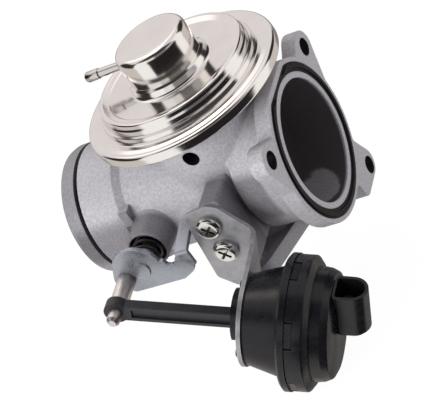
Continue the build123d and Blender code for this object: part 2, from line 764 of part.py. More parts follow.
# ---------------------------------------------------------------- actuator bracket
with BuildPart() as bracket_outline:
    # pad that is screwed to the housing, then the round plate with its neck to the bend
    with BuildSketch(Plane.XZ.offset(-PAD_Y - 1)) as pad:
        with BuildLine():
            Polyline(
                (-49.8, 14.6),
                (-37.0, 16.4),
                (-32.6, 13.8),
                (-24.0, -3.0),
                (-22.0, -6.0),
                (-36.0, -36.0),
                (-47.8, -29.8),
                (-54.0, -22.5),
                close=True,
            )
        make_face()
        fillet(pad.vertices().group_by(Axis.X)[0], 3.0)
        fillet(pad.vertices().sort_by_distance((-49.8, 14.6, 0))[0], 3.0)
        fillet(pad.vertices().sort_by_distance((-37.0, 16.4, 0))[0], 4.0)
    extrude(amount=9)
    with BuildSketch(station(PLATE_AT - 5)):
        add(wrap((0, 0, PLATE_R), (22.0, PAD_Y_LOCAL, 3.0), (-1.5, PAD_Y_LOCAL, 3.0)))
    extrude(amount=8)

with BuildPart() as actuator_bracket:
    with BuildSketch(BEND_PLANE) as fold:
        with BuildLine():
            Polyline(
                (12, PAD_Y),
                (PLATE_END, PAD_Y),
                (PLATE_END, ROD_Y - PLATE_R - 2),
                (PLATE_AT, ROD_Y - PLATE_R - 2),
                (PLATE_AT, PAD_Y - PLATE_T),
                (12, PAD_Y - PLATE_T),
                close=True,
            )
        make_face()
        fillet(fold.vertices().sort_by_distance((PLATE_END, PAD_Y, 0))[0], BEND_R + PLATE_T)
        fillet(fold.vertices().sort_by_distance((PLATE_AT, PAD_Y - PLATE_T, 0))[0], BEND_R)
    extrude(amount=60, both=True)
    add(bracket_outline.part, mode=Mode.INTERSECT)
    with BuildSketch(Plane.XZ.offset(-PAD_Y)):
        with Locations(*BRACKET_SCREWS):
            Circle(3.3)
    extrude(amount=PLATE_T, mode=Mode.SUBTRACT)
    with BuildSketch(station(PLATE_AT)):
        with Locations((NECK_SHIFT, 0)):
            Circle(NECK_OUT_R)
        with PolarLocations(RIVET_PITCH_R, 3, start_angle=RIVET_ANGLE):
            Circle(RIVET_R)
    extrude(amount=PLATE_T, mode=Mode.SUBTRACT)
finish(actuator_bracket, "actuator_bracket")

with BuildPart() as bracket_screws:
    # pan-head screws with a cross recess
    with BuildSketch(Plane.XZ.offset(-PAD_Y + PLATE_T)):
        with Locations(*BRACKET_SCREWS):
            Circle(2.5)
    extrude(amount=-12)
    with BuildSketch(Plane.XZ.offset(-PAD_Y + PLATE_T)):
        with Locations(*BRACKET_SCREWS):
            Circle(SCREW_HEAD_R)
    extrude(amount=3.4)
    rims = bracket_screws.faces().sort_by(Axis.Y)[:2].edges()
    fillet(rims, 2.2)
    with BuildSketch(Plane.XZ.offset(-PAD_Y + PLATE_T + 3.4)):
        with Locations(*BRACKET_SCREWS):
            Rectangle(6.4, 1.3, rotation=40)
            Rectangle(6.4, 1.3, rotation=130)
    extrude(amount=-2.0, taper=8, mode=Mode.SUBTRACT)
finish(bracket_screws, "bracket_screws")

# ---------------------------------------------------------------- vacuum actuator
with BuildPart() as actuator_drum:
    # conical drum with a neck for the rod and a stepped flange
    with BuildSketch(PULL_MERIDIAN):
        with BuildLine():
            Polyline(
                (PLATE_END, 0),
                (PLATE_END, DRUM_R0),
                (DRUM_CONE_END, DRUM_R1),
                (RING_AT - 0.4, DRUM_R1 + 0.6),
                (RING_AT + 0.2, RING_R - 1.4),
                (RING_AT + 1.4, RING_R),
                (RING_SPLIT, RING_R),
                (RING_SPLIT, 28.0),
                (RING_SPLIT - 2, 28.0),
                (RING_SPLIT - 2, DRUM_R1 - 1.2),
                (DRUM_CONE_END, DRUM_R1 - WALL),
                (PLATE_END + WALL, DRUM_R0 - WALL),
                (PLATE_END + WALL, 0),
                close=True,
            )
        make_face()
    revolve(axis=PULL_AXIS)
    with BuildSketch(station(PLATE_AT - NECK_L)):
        with Locations((NECK_SHIFT, 0)):
            Circle(NECK_OUT_R)
    extrude(amount=NECK_L + PLATE_T + WALL)
    with BuildSketch(station(PLATE_AT - NECK_L)):
        with Locations((NECK_SHIFT, 0)):
            Circle(NECK_IN_R)
    extrude(amount=NECK_L + PLATE_T + WALL, mode=Mode.SUBTRACT)
    with BuildSketch(station(PLATE_AT - NECK_L)):
        with Locations((HOOD_FOOT, 0)):
            Rectangle(NECK_OUT_R, 2 * NECK_OUT_R, align=(Align.MAX, Align.CENTER))
    extrude(amount=NECK_L - WALL / 2, mode=Mode.SUBTRACT)
    # snap lugs that stand in the cap's windows
    with BuildSketch(station(RING_SPLIT - 0.5)):
        with PolarLocations(CAP_RING_R - 1.1, SNAPS, start_angle=SNAP_ANGLE):
            Rectangle(0.9, WINDOW_W - 1.6)
    extrude(amount=WINDOW_L + 0.2)
finish(actuator_drum, "actuator_drum")

with BuildPart() as actuator_rivets:
    with BuildSketch(station(PLATE_AT - 1.7)):
        with PolarLocations(RIVET_PITCH_R, 3, start_angle=RIVET_ANGLE):
            Circle(RIVET_HEAD_R)
    extrude(amount=1.7)
    fillet(actuator_rivets.edges().group_by(lambda e: e.center().dot(Vector(*ALONG)))[0], 1.2)
    with BuildSketch(station(PLATE_AT)):
        with PolarLocations(RIVET_PITCH_R, 3, start_angle=RIVET_ANGLE):
            Circle(RIVET_R)
    extrude(amount=PLATE_T)
finish(actuator_rivets, "actuator_rivets")

SHROUD_PLANE = Plane(
    origin=(PIN_X + UPWARD[0] * SHROUD_FOOT, ROD_Y, PIN_Z + UPWARD[2] * SHROUD_FOOT),
    x_dir=ALONG,
    z_dir=UPWARD,
)
SHROUD_H = SHROUD_TOP - SHROUD_FOOT
SHROUD_AXIS_AT = SHROUD_END - SHROUD_R
SHROUD_BEVEL = 2.4

with BuildPart() as actuator_cap:
    # snap ring and domed cap, one outline turned about the pull line
    with BuildSketch(PULL_MERIDIAN) as cap_outline:
        with BuildLine():
            Polyline(
                (RING_SPLIT + 0.3, 23.8),
                (RING_SPLIT + 0.3, CAP_RING_R),
                (RING_END, CAP_RING_R),
                (RING_END + 2.2, 26.6),
                (RING_END + 2.2, 25.2),
                (CAP_END - 4.4, CAP_R),
                (CAP_END - 1.4, 23.2),
                (CAP_END, 20.4),
                (CAP_END, 0),
                (CAP_END - WALL, 0),
                (CAP_END - WALL, 19.4),
                (CAP_END - 3.0, 21.7),
                (CAP_END - 5.2, 22.6),
                (RING_END - 1.8, 23.6),
                close=True,
            )
        make_face()
        for corner in ((CAP_END - 1.4, 23.2), (CAP_END - 4.4, CAP_R), (RING_END, CAP_RING_R)):
            fillet(cap_outline.vertices().sort_by_distance((*corner, 0))[0], 1.2)
    revolve(axis=PULL_AXIS)
    with BuildSketch(station(RING_SPLIT + 0.3)):
        with PolarLocations(CAP_RING_R, SNAPS, start_angle=SNAP_ANGLE):
            Rectangle(4.4, WINDOW_W)
    extrude(amount=WINDOW_L - 0.3, mode=Mode.SUBTRACT)
    # D-shaped shroud, open upward, with the vacuum nipple inside it
    shroud = wrap((SHROUD_AXIS_AT, 0, SHROUD_R), (CAP_END + 1.5, 4.8, 2.4), (CAP_END + 1.5, -4.8, 2.4))
    with BuildSketch(SHROUD_PLANE.offset(SHROUD_BEVEL)):
        add(shroud)
    extrude(amount=SHROUD_H - SHROUD_BEVEL)
    with BuildSketch(SHROUD_PLANE.offset(SHROUD_BEVEL)):
        add(shroud)
    extrude(amount=-SHROUD_BEVEL, taper=40)
    with BuildSketch(SHROUD_PLANE.offset(3.2)):
        add(wrap((SHROUD_AXIS_AT, 0, SHROUD_R - 1.5), (CAP_END + 1.4, 4.5, 1.2), (CAP_END + 1.4, -4.5, 1.2)))
    extrude(amount=SHROUD_H, mode=Mode.SUBTRACT)
    with BuildSketch(SHROUD_PLANE.offset(2.0)):
        with Locations((SHROUD_AXIS_AT - 2.0, 0)):
            Circle(2.5)
    extrude(amount=15.0)
    with BuildSketch(SHROUD_PLANE.offset(4.0)):
        with Locations((SHROUD_AXIS_AT - 2.0, 0)):
            Circle(1.2)
    extrude(amount=14.0, mode=Mode.SUBTRACT)
finish(actuator_cap, "actuator_cap")

# ---------------------------------------------------------------- actuator internals
with BuildPart() as actuator_rod:
    # eye, flanged bar with long side pockets, and the round end inside the piston
    with BuildSketch(Plane.XZ.offset(-ROD_Y - ROD_T / 2)):
        with Locations((PIN_X, PIN_Z)):
            Circle(EYE_R)
            with Locations(Location((0, 0), PULL_ANGLE * -1)):
                with Locations((34.0, 0)):
                    Rectangle(60.0, ROD_H)
            Circle(PIN_D / 2 + RUN, mode=Mode.SUBTRACT)
    extrude(amount=ROD_T)
    for reach, depth in ((-ROD_Y + ROD_T / 2, -1.3), (-ROD_Y - ROD_T / 2, 1.3)):
        with BuildSketch(Plane.XZ.offset(reach)):
            with Locations(Location((PIN_X, PIN_Z), -PULL_ANGLE)):
                with Locations((31.0, 0)):
                    Rectangle(48.0, ROD_H - 3.4)
        extrude(amount=depth, mode=Mode.SUBTRACT)
finish(actuator_rod, "actuator_rod")


def pulled(name, *points):
    """Ring turned about the pull line from its (distance, radius) outline."""
    with BuildPart() as ring:
        with BuildSketch(PULL_MERIDIAN):
            with BuildLine():
                Polyline(*points, close=True)
            make_face()
        revolve(axis=PULL_AXIS)
    finish(ring, name)


pulled(
    "actuator_piston",
    (PISTON_AT, 0), (PISTON_AT, 16.0), (PISTON_AT + 12, 16.6), (PISTON_AT + 12, 15.2),
    (PISTON_AT + 2, 14.6), (PISTON_AT + 2, 8.0), (PISTON_AT + 7, 7.0), (PISTON_AT + 7, 0),
)
pulled(
    "actuator_diaphragm",
    (RING_SPLIT - 2, 24.6), (RING_SPLIT - 2, 27.9), (RING_SPLIT + 0.3, 27.9),
    (RING_SPLIT + 0.3, 24.2), (PISTON_AT + 13.2, 18.6), (PISTON_AT + 12, 16.6),
    (PISTON_AT + 10, 16.6), (PISTON_AT + 12, 18.6), (RING_SPLIT - 1.4, 22.8),
)
coil_spring(
    "actuator_spring",
    (PIN_X + ALONG[0] * (PISTON_AT + 3.2), ROD_Y, PIN_Z + ALONG[2] * (PISTON_AT + 3.2)),
    ALONG, 11.0, 1.0, 7.2, 4,
)
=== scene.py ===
"""Looks of a vacuum-operated exhaust gas recirculation valve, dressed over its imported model.

The frame is the part's own, in metres: the origin is the centre of the manifold bore on the flange
face, +X points out of the flange and +Z runs up the poppet stem.  Sizes are written in millimetres.
"""
import json
import logging
import math
from dataclasses import dataclass
from enum import Enum
from typing import Sequence

import bmesh
import bpy
import numpy as np
from mathutils import Matrix, Vector

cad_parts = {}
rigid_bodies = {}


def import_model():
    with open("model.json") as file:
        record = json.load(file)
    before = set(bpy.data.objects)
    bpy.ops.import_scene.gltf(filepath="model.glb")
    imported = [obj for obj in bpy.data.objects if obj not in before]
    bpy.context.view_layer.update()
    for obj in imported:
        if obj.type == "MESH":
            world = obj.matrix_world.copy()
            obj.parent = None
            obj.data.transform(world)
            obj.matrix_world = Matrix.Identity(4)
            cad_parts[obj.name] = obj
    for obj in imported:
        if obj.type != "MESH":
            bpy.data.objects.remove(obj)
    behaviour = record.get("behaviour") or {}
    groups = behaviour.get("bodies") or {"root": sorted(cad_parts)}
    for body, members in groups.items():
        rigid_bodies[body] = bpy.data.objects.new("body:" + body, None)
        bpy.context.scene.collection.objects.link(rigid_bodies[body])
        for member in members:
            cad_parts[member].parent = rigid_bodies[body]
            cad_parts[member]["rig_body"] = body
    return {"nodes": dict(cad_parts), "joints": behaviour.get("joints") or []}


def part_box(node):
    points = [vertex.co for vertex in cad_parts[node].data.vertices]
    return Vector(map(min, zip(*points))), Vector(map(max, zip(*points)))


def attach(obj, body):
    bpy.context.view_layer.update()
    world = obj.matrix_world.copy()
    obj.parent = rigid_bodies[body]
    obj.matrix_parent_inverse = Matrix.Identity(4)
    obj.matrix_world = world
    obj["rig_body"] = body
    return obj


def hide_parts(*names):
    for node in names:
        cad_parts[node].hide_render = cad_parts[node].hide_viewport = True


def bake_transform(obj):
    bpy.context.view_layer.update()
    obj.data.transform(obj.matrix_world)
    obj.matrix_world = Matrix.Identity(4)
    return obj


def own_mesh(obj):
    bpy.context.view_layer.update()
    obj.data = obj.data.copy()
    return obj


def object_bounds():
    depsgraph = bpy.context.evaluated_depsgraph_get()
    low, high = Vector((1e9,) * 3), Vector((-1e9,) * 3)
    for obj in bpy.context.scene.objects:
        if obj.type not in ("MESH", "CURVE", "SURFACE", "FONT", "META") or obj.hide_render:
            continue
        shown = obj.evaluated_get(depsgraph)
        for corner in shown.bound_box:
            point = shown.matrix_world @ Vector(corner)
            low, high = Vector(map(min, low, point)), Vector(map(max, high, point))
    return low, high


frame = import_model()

CAD_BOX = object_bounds()
LOG = logging.getLogger("egr_valve")
MM = 0.001
Colour = tuple[float, float, float]
Place = tuple[float, float, float]
Corner = tuple[float, float, float]
Span = float | np.ndarray
MERGE = 2e-6             # metres under which two points of a mesh are one
POINTS_PER_TURN = 40


# ---------------------------------------------------------------- geometry
@dataclass(frozen=True)
class Spindle:
    """A line that turned pieces stand on, with the direction that angle zero points to."""

    origin: Place
    along: Place
    clock: Place

    def place(self, radius: Span, angle: Span, height: Span) -> np.ndarray:
        """Points at cylindrical coordinates about the spindle.

        The point is origin + height * along + radius * (cos angle * clock + sin angle * side), where
        side is the cross product of along and clock.

        Args:
            radius: Distances from the line, in millimetres.
            angle: Angles from the clock direction, in radians.
            height: Distances along the line, in millimetres.

        Returns:
            Points in metres, with one more axis than the inputs.
        """
        along, clock = np.array(self.along), np.array(self.clock)
        side = np.cross(along, clock)
        radius, angle, height = np.broadcast_arrays(radius, angle, height)
        spread = np.cos(angle)[..., None] * clock + np.sin(angle)[..., None] * side
        return (np.array(self.origin) + height[..., None] * along + radius[..., None] * spread) * MM

    def point(self, height: float) -> Place:
        """Point of the line itself in metres, at a height in millimetres."""
        return tuple(self.place(0.0, 0.0, height))


def joint_place(name: str) -> Place:
    """Place of a hinge in millimetres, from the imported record.

    Args:
        name: Name of the joint.

    Returns:
        The joint's point in the row frame.
    """
    joint = next(j for j in frame["joints"] if j["name"] == name)
    return tuple(value / MM for value in joint["pos_m"])


def centre_of(node: str) -> Place:
    """Centre of a CAD node's box, in millimetres."""
    low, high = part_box(node)
    return tuple((a + b) / 2 / MM for a, b in zip(low, high))


PULL_ANGLE = math.radians(25.0)
ALONG = (math.cos(PULL_ANGLE), 0.0, -math.sin(PULL_ANGLE))
UPWARD = (math.sin(PULL_ANGLE), 0.0, math.cos(PULL_ANGLE))
STEM = Spindle((centre_of("valve_stem")[0], 0.0, 0.0), (0.0, 0.0, 1.0), (1.0, 0.0, 0.0))
PULL = Spindle(joint_place("rod_turn"), ALONG, UPWARD)
DUCT = Spindle((0.0, 0.0, 0.0), (1.0, 0.0, 0.0), (0.0, 0.0, 1.0))
SHARP = math.radians(32.0)
COPLANAR = math.radians(1.0)


def rounded(corners: Sequence[Corner], steps: int = 6) -> np.ndarray:
    """Open outline with an arc at every corner that states a radius.

    At a corner with unit directions u and v to its neighbours the arc touches both runs at
    radius / tan(half angle) from the corner, and its centre lies on the bisector at
    radius / sin(half angle).

    Args:
        corners: (x, y, radius) of each corner, in order.
        steps: Segments of each arc.

    Returns:
        Points of the outline, one row each.
    """
    points = np.array(corners, float)
    out = [points[0, :2]]
    for before, corner, after in zip(points[:-2], points[1:-1], points[2:]):
        here, radius = corner[:2], corner[2]
        if radius <= 0:
            out.append(here)
            continue
        u = (before[:2] - here) / np.linalg.norm(before[:2] - here)
        v = (after[:2] - here) / np.linalg.norm(after[:2] - here)
        half = math.acos(float(np.clip(u @ v, -1, 1))) / 2
        centre = here + (u + v) / np.linalg.norm(u + v) * radius / math.sin(half)
        first, last = here + u * radius / math.tan(half), here + v * radius / math.tan(half)
        turn = math.pi - 2 * half
        share = np.linspace(0, 1, steps + 1)[:, None]
        a, b = first - centre, last - centre
        out.extend(centre + (np.sin((1 - share) * turn) * a + np.sin(share * turn) * b) / math.sin(turn))
    out.append(points[-1, :2])
    return np.array(out)


def mesh_piece(name: str, points: np.ndarray, faces: np.ndarray, sharp: float = SHARP) -> bpy.types.Object:
    """Object from points and faces of equal corner count, merged, closed and smooth between sharp edges.

    Args:
        name: Name of the piece.
        points: Points in metres, one row each.
        faces: Point numbers of each face.
        sharp: Angle above which an edge stays sharp, in radians.

    Returns:
        The new object, linked into the scene.
    """
    mesh = bpy.data.meshes.new(name)
    mesh.from_pydata(points, [], faces.tolist())
    return settle(name, mesh, sharp)


def settle(name: str, mesh: bpy.types.Mesh, sharp: float = SHARP) -> bpy.types.Object:
    """Merge doubled points, turn faces outwards, smooth the mesh and link an object for it.

    Args:
        name: Name of the object.
        mesh: Mesh whose points are in the row frame.
        sharp: Angle above which an edge stays sharp, in radians.

    Returns:
        The new object.
    """
    work = bmesh.new()
    work.from_mesh(mesh)
    bmesh.ops.remove_doubles(work, verts=work.verts, dist=MERGE)
    bmesh.ops.dissolve_degenerate(work, edges=work.edges, dist=MERGE / 4)
    bmesh.ops.recalc_face_normals(work, faces=work.faces)
    work.to_mesh(mesh)
    work.free()
    mesh.shade_smooth()
    mesh.set_sharp_from_angle(angle=sharp)
    piece = bpy.data.objects.new(name, mesh)
    bpy.context.scene.collection.objects.link(piece)
    return piece


def grid_faces(rows: int, columns: int, wrap_rows: bool, wrap_columns: bool) -> np.ndarray:
    """Corner numbers of the quads of a grid of points stored row by row.

    Quad (i, j) joins the points (i, j), (i, j + 1), (i + 1, j + 1) and (i + 1, j), and a direction
    that wraps has one more quad, back to its start.

    Args:
        rows: Rows of points.
        columns: Points in each row.
        wrap_rows: Whether the last row joins the first.
        wrap_columns: Whether the last column joins the first.

    Returns:
        Four point numbers for each quad.
    """
    row = np.arange(rows if wrap_rows else rows - 1)[:, None]
    column = np.arange(columns if wrap_columns else columns - 1)[None, :]
    below, right = (row + 1) % rows, (column + 1) % columns
    here, under = row * columns, below * columns
    quads = np.broadcast_arrays(here + column, here + right, under + right, under + column)
    return np.stack(quads, axis=-1).reshape(-1, 4)


def turned(
    name: str,
    profile: np.ndarray,
    spindle: Spindle,
    ring: bool = False,
    steps: int = 160,
    sharp: float = SHARP,
) -> bpy.types.Object:
    """Surface of revolution: the profile's (radius, height) points carried round the spindle.

    Args:
        name: Name of the piece.
        profile: (radius, height) points in millimetres.
        spindle: Line that the profile turns about.
        ring: Whether the profile is a closed loop.
        steps: Segments round the spindle.
        sharp: Angle above which an edge stays sharp, in radians.

    Returns:
        The new object.
    """
    angle = np.linspace(0, 2 * np.pi, steps, endpoint=False)[None, :]
    points = spindle.place(profile[:, :1], angle, profile[:, 1:])
    faces = grid_faces(len(profile), steps, ring, True)
    return mesh_piece(name, points.reshape(-1, 3), faces, sharp)


def wire(name: str, path: np.ndarray, radius: float, sides: int = 14) -> bpy.types.Object:
    """Round wire along a path, closed by a cap at each end.

    A circle of the wire's radius is carried along the path in the plane of the path's normal and
    binormal.  The normal is the direction away from the path's middle, less its part along the
    tangent, and the binormal is the cross product of tangent and normal.

    Args:
        name: Name of the piece.
        path: Points of the centre line in millimetres.
        radius: Radius of the wire in millimetres.
        sides: Sides of the circle.

    Returns:
        The new object.
    """
    tangent = np.gradient(path, axis=0)
    tangent /= np.linalg.norm(tangent, axis=1, keepdims=True)
    outward = path - path.mean(axis=0)
    normal = outward - (outward * tangent).sum(axis=1, keepdims=True) * tangent
    normal /= np.linalg.norm(normal, axis=1, keepdims=True)
    binormal = np.cross(tangent, normal)
    angle = np.linspace(0, 2 * np.pi, sides, endpoint=False)[None, :, None]
    rings = path[:, None] + radius * (np.cos(angle) * normal[:, None] + np.sin(angle) * binormal[:, None])
    ends = np.repeat(path[[0, -1]][:, None], sides, axis=1)
    rings = np.concatenate([ends[:1], rings, ends[1:]])
    return mesh_piece(name, rings.reshape(-1, 3) * MM, grid_faces(len(rings), sides, False, True))


def coil(
    name: str, spindle: Spindle, start: float, end: float, radius: float, wire_radius: float, turns: float
) -> bpy.types.Object:
    """Coil spring whose pitch closes up at both ends.

    At a share s of the turns the height is start + (end - start) * (s - k sin(2 pi s) / (2 pi)), so
    the pitch at both ends is 1 - k of the mean one.

    Args:
        name: Name of the piece.
        spindle: Line that the coil winds about.
        start: Height of the first end, in millimetres.
        end: Height of the last end, in millimetres.
        radius: Radius of the coil's centre line.
        wire_radius: Radius of the wire.
        turns: Number of turns.

    Returns:
        The new object.
    """
    closing = 0.75
    share = np.linspace(0, 1, int(turns * POINTS_PER_TURN))
    eased = share - np.sin(2 * np.pi * share) / (2 * np.pi) * closing
    path = spindle.place(radius, share * turns * 2 * np.pi, start + (end - start) * eased)
    return wire(name, path / MM, wire_radius)


def stand_for(piece: bpy.types.Object, node: str) -> bpy.types.Object:
    """Let a piece ride on the body of the CAD node that it stands for, and hide that node.

    Args:
        piece: New piece.
        node: Name of the CAD node.

    Returns:
        The same piece.
    """
    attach(piece, frame["nodes"][node]["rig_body"])
    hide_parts(node)
    return piece


def copy_of(node: str, sharp: float = SHARP, flat: bool = False) -> bpy.types.Object:
    """Merged and smoothed copy of a CAD node, which stands in the node's place.

    Args:
        node: Name of the CAD node.
        sharp: Angle above which an edge stays sharp, in radians.
        flat: Whether coplanar triangles are joined, so that a bevel can run along the edges.

    Returns:
        The copy, riding on the node's body and replacing it.
    """
    mesh = frame["nodes"][node].data.copy()
    mesh.materials.clear()
    if "custom_normal" in mesh.attributes:
        mesh.attributes.remove(mesh.attributes["custom_normal"])
    if flat:
        work = bmesh.new()
        work.from_mesh(mesh)
        bmesh.ops.remove_doubles(work, verts=work.verts, dist=MERGE)
        bmesh.ops.dissolve_limit(work, angle_limit=COPLANAR, verts=work.verts, edges=work.edges)
        work.to_mesh(mesh)
        work.free()
    return stand_for(settle(f"{node}_skin", mesh, sharp), node)


def ease_edges(piece: bpy.types.Object, width: float, angle: float = 40.0, segments: int = 3) -> None:
    """Round the edges of a piece with a bevel.

    Args:
        piece: Object to round.
        width: Width of the bevel in millimetres.
        angle: Only edges sharper than this are rounded, in degrees.
        segments: Segments across the bevel.
    """
    bevel = piece.modifiers.new("eased_edges", "BEVEL")
    bevel.width = width * MM
    bevel.segments = segments
    bevel.limit_method = "ANGLE"
    bevel.angle_limit = math.radians(angle)
    bevel.harden_normals = True
    bevel.use_clamp_overlap = True


# ---------------------------------------------------------------- shader nodes
class Graph:
    """A node tree with short calls that add nodes and link them."""

    def __init__(self, tree: bpy.types.NodeTree) -> None:
        """Keep the tree that the calls work on."""
        self.tree = tree

    def add(self, kind: str, inputs: dict | None = None, **attributes: object) -> bpy.types.Node:
        """Add a node.

        Args:
            kind: Blender's name of the node, without its ShaderNode prefix.
            inputs: Values or output sockets for the node's inputs, by socket name or number.
            attributes: Values for the node's own properties.

        Returns:
            The new node.
        """
        prefix = "NodeGroup" if kind in ("Input", "Output") else "ShaderNode"
        node = self.tree.nodes.new(prefix + kind)
        for name, value in attributes.items():
            setattr(node, name, value)
        for name, value in (inputs or {}).items():
            if isinstance(value, bpy.types.NodeSocket):
                self.tree.links.new(value, node.inputs[name])
            else:
                node.inputs[name].default_value = value
        return node

    def maths(self, operation: str, *values: object, clamp: bool = False) -> bpy.types.NodeSocket:
        """Result of a maths node on values or sockets."""
        node = self.add("Math", dict(enumerate(values)), operation=operation, use_clamp=clamp)
        return node.outputs[0]

    def ramp(
        self, value: object, low: float, high: float, start: float = 0.0, end: float = 1.0
    ) -> bpy.types.NodeSocket:
        """Smooth step of a value from low..high to start..end."""
        inputs = {"Value": value, "From Min": low, "From Max": high, "To Min": start, "To Max": end}
        return self.add("MapRange", inputs, interpolation_type="SMOOTHSTEP").outputs[0]

    def blend(self, share: object, first: object, second: object, mode: str = "MIX") -> bpy.types.NodeSocket:
        """Mix of two colours.

        Args:
            share: Weight of the second colour.
            first: Colour or socket that shows at a share of zero.
            second: Colour or socket that shows at a share of one.
            mode: Blender's name of the way of mixing.

        Returns:
            Colour socket.
        """
        first, second = (c if isinstance(c, bpy.types.NodeSocket) else (*c, 1.0) for c in (first, second))
        node = self.add("Mix", {0: share, 6: first, 7: second}, data_type="RGBA", blend_type=mode)
        return node.outputs[2]

    def where(self) -> bpy.types.NodeSocket:
        """Object coordinates, in metres."""
        return self.add("TexCoord").outputs["Object"]

    def millimetres(self) -> list[bpy.types.NodeSocket]:
        """The X, Y and Z of the object coordinates, in millimetres."""
        return [self.maths("DIVIDE", part, MM) for part in self.add("SeparateXYZ", {0: self.where()}).outputs]

    def noise(self, scale: object, detail: float, roughness: float = 0.5) -> bpy.types.NodeSocket:
        """Noise over object coordinates, with a scale in cells per metre."""
        inputs = {"Vector": self.where(), "Scale": scale, "Detail": detail, "Roughness": roughness}
        return self.add("TexNoise", inputs).outputs[0]

    def length(self, first: object, second: object) -> bpy.types.NodeSocket:
        """Root of the sum of two squares."""
        squares = (self.maths("POWER", side, 2.0) for side in (first, second))
        return self.maths("SQRT", self.maths("ADD", *squares))

    def send(self, outputs: dict[str, bpy.types.NodeSocket], target: bpy.types.Node) -> None:
        """Link sockets to the inputs of a node, by the inputs' names."""
        for name, socket in outputs.items():
            self.tree.links.new(socket, target.inputs[name])


def new_group(
    name: str, inputs: dict[str, float], outputs: Sequence[str]
) -> tuple[Graph, bpy.types.Node, bpy.types.Node]:
    """Empty shader node group with named value sockets.

    Args:
        name: Name of the group.
        inputs: Default value of each input, by name.
        outputs: Names of the outputs.

    Returns:
        The group's graph, its input node and its output node.
    """
    tree = bpy.data.node_groups.new(name, "ShaderNodeTree")
    sockets = tree.interface
    for label, value in inputs.items():
        sockets.new_socket(name=label, in_out="INPUT", socket_type="NodeSocketFloat").default_value = value
    for label in outputs:
        sockets.new_socket(name=label, in_out="OUTPUT", socket_type="NodeSocketFloat")
    graph = Graph(tree)
    return graph, graph.add("Input"), graph.add("Output")


def grain_group() -> bpy.types.NodeTree:
    """Surface grain: fine and coarse noise added as a height, with the coarse one as a mask.

    Fine and Coarse are cell sizes in millimetres and Balance is the share of the coarse noise.

    Returns:
        The node group.
    """
    values = {"Fine": 0.3, "Coarse": 3.0, "Balance": 0.4}
    graph, given, result = new_group("surface_grain", values, ("Height", "Mask"))
    fine, coarse = (
        graph.noise(graph.maths("DIVIDE", 1 / MM, given.outputs[name]), detail, 0.6)
        for name, detail in (("Fine", 2.0), ("Coarse", 3.0))
    )
    height = graph.add("Mix", {0: given.outputs["Balance"], 2: fine, 3: coarse}, data_type="FLOAT")
    graph.send({"Height": height.outputs[0], "Mask": coarse}, result)
    return graph.tree


def edge_group() -> bpy.types.NodeTree:
    """Edge mask: one minus the dot product of the true normal and one rounded over Radius millimetres.

    Noise with cells of Patch millimetres breaks the mask up, so a corner is only worn here and there.

    Returns:
        The node group.
    """
    graph, given, result = new_group("edge_wear", {"Radius": 0.4, "Patch": 4.0}, ("Mask",))
    radius = graph.maths("MULTIPLY", given.outputs["Radius"], MM)
    soft = graph.add("Bevel", {"Radius": radius}, samples=4).outputs[0]
    hard = graph.add("NewGeometry").outputs["Normal"]
    dot = graph.add("VectorMath", {0: soft, 1: hard}, operation="DOT_PRODUCT").outputs["Value"]
    bend = graph.ramp(graph.maths("SUBTRACT", 1.0, dot), 0.01, 0.2)
    patch = graph.noise(graph.maths("DIVIDE", 1 / MM, given.outputs["Patch"]), 4.0)
    mask = graph.maths("MULTIPLY", bend, graph.ramp(patch, 0.35, 0.6, 0.35, 1.0), clamp=True)
    graph.send({"Mask": mask}, result)
    return graph.tree


def recess_shade_group() -> bpy.types.NodeTree:
    """Painted shade mask: how far a point is shut in within Reach millimetres, where the colour is darkened
    as shade would darken it.

    Noise with cells of Patch millimetres breaks the mask up.

    Returns:
        The node group.
    """
    graph, given, result = new_group("painted_recess_shade", {"Reach": 3.0, "Patch": 6.0}, ("Mask",))
    reach = graph.maths("MULTIPLY", given.outputs["Reach"], MM)
    open_share = graph.add("AmbientOcclusion", {"Distance": reach}, samples=6).outputs["AO"]
    patch = graph.noise(graph.maths("DIVIDE", 1 / MM, given.outputs["Patch"]), 3.0)
    shut = graph.ramp(open_share, 0.95, 0.45)
    graph.send({"Mask": graph.maths("MULTIPLY", shut, graph.ramp(patch, 0.2, 0.7, 0.5, 1.0))}, result)
    return graph.tree


def bore_shade_group() -> bpy.types.NodeTree:
    """Painted shade mask of a pipe along X: the part nearer to the axis than a wall radius, behind the mouth.

    The wall radius runs from Front at the mouth to Back past Step, in millimetres, and the distance
    from the axis is the root of y squared plus z squared.  The second output is a painted pool of light,
    where light falling into the pipe leaves the painted shade thinner: an oval of radius Reach with a
    noisy edge, low in the pipe, whose centre is Inside millimetres behind the mouth.

    Returns:
        The node group.
    """
    values = {"Front": 30.2, "Back": 27.0, "Step": -31.0, "Inside": 16.0, "Reach": 13.0}
    graph, given, result = new_group("painted_bore_shade", values, ("Mask", "Lit Patch"))
    along, side, up = graph.millimetres()
    past = graph.ramp(graph.maths("SUBTRACT", along, given.outputs["Step"]), -1.5, 1.5)
    wall = graph.add("Mix", {0: past, 2: given.outputs["Back"], 3: given.outputs["Front"]}).outputs[0]
    inner = graph.ramp(graph.maths("SUBTRACT", wall, graph.length(side, up)), -0.3, 0.3)
    mask = graph.maths("MULTIPLY", inner, graph.ramp(along, -0.3, -1.6))
    from_centre = graph.maths("ADD", along, given.outputs["Inside"])
    forward, across = (graph.maths("DIVIDE", part, given.outputs["Reach"]) for part in (from_centre, side))
    waver = graph.maths("MULTIPLY", graph.noise(1 / (7.0 * MM), 3.0, 0.55), 0.5)
    oval = graph.ramp(graph.maths("ADD", graph.length(forward, across), waver), 1.35, 1.1)
    # painted pool of light low in the pipe
    lit_patch = graph.maths("MULTIPLY", oval, graph.ramp(up, -10.0, -20.0))
    graph.send({"Mask": mask, "Lit Patch": lit_patch}, result)
    return graph.tree


@dataclass(frozen=True)
class Bolthole:
    """A bolt hole along X through the manifold flange: its place and radius in millimetres."""

    y: float
    z: float
    radius: float = 4.3


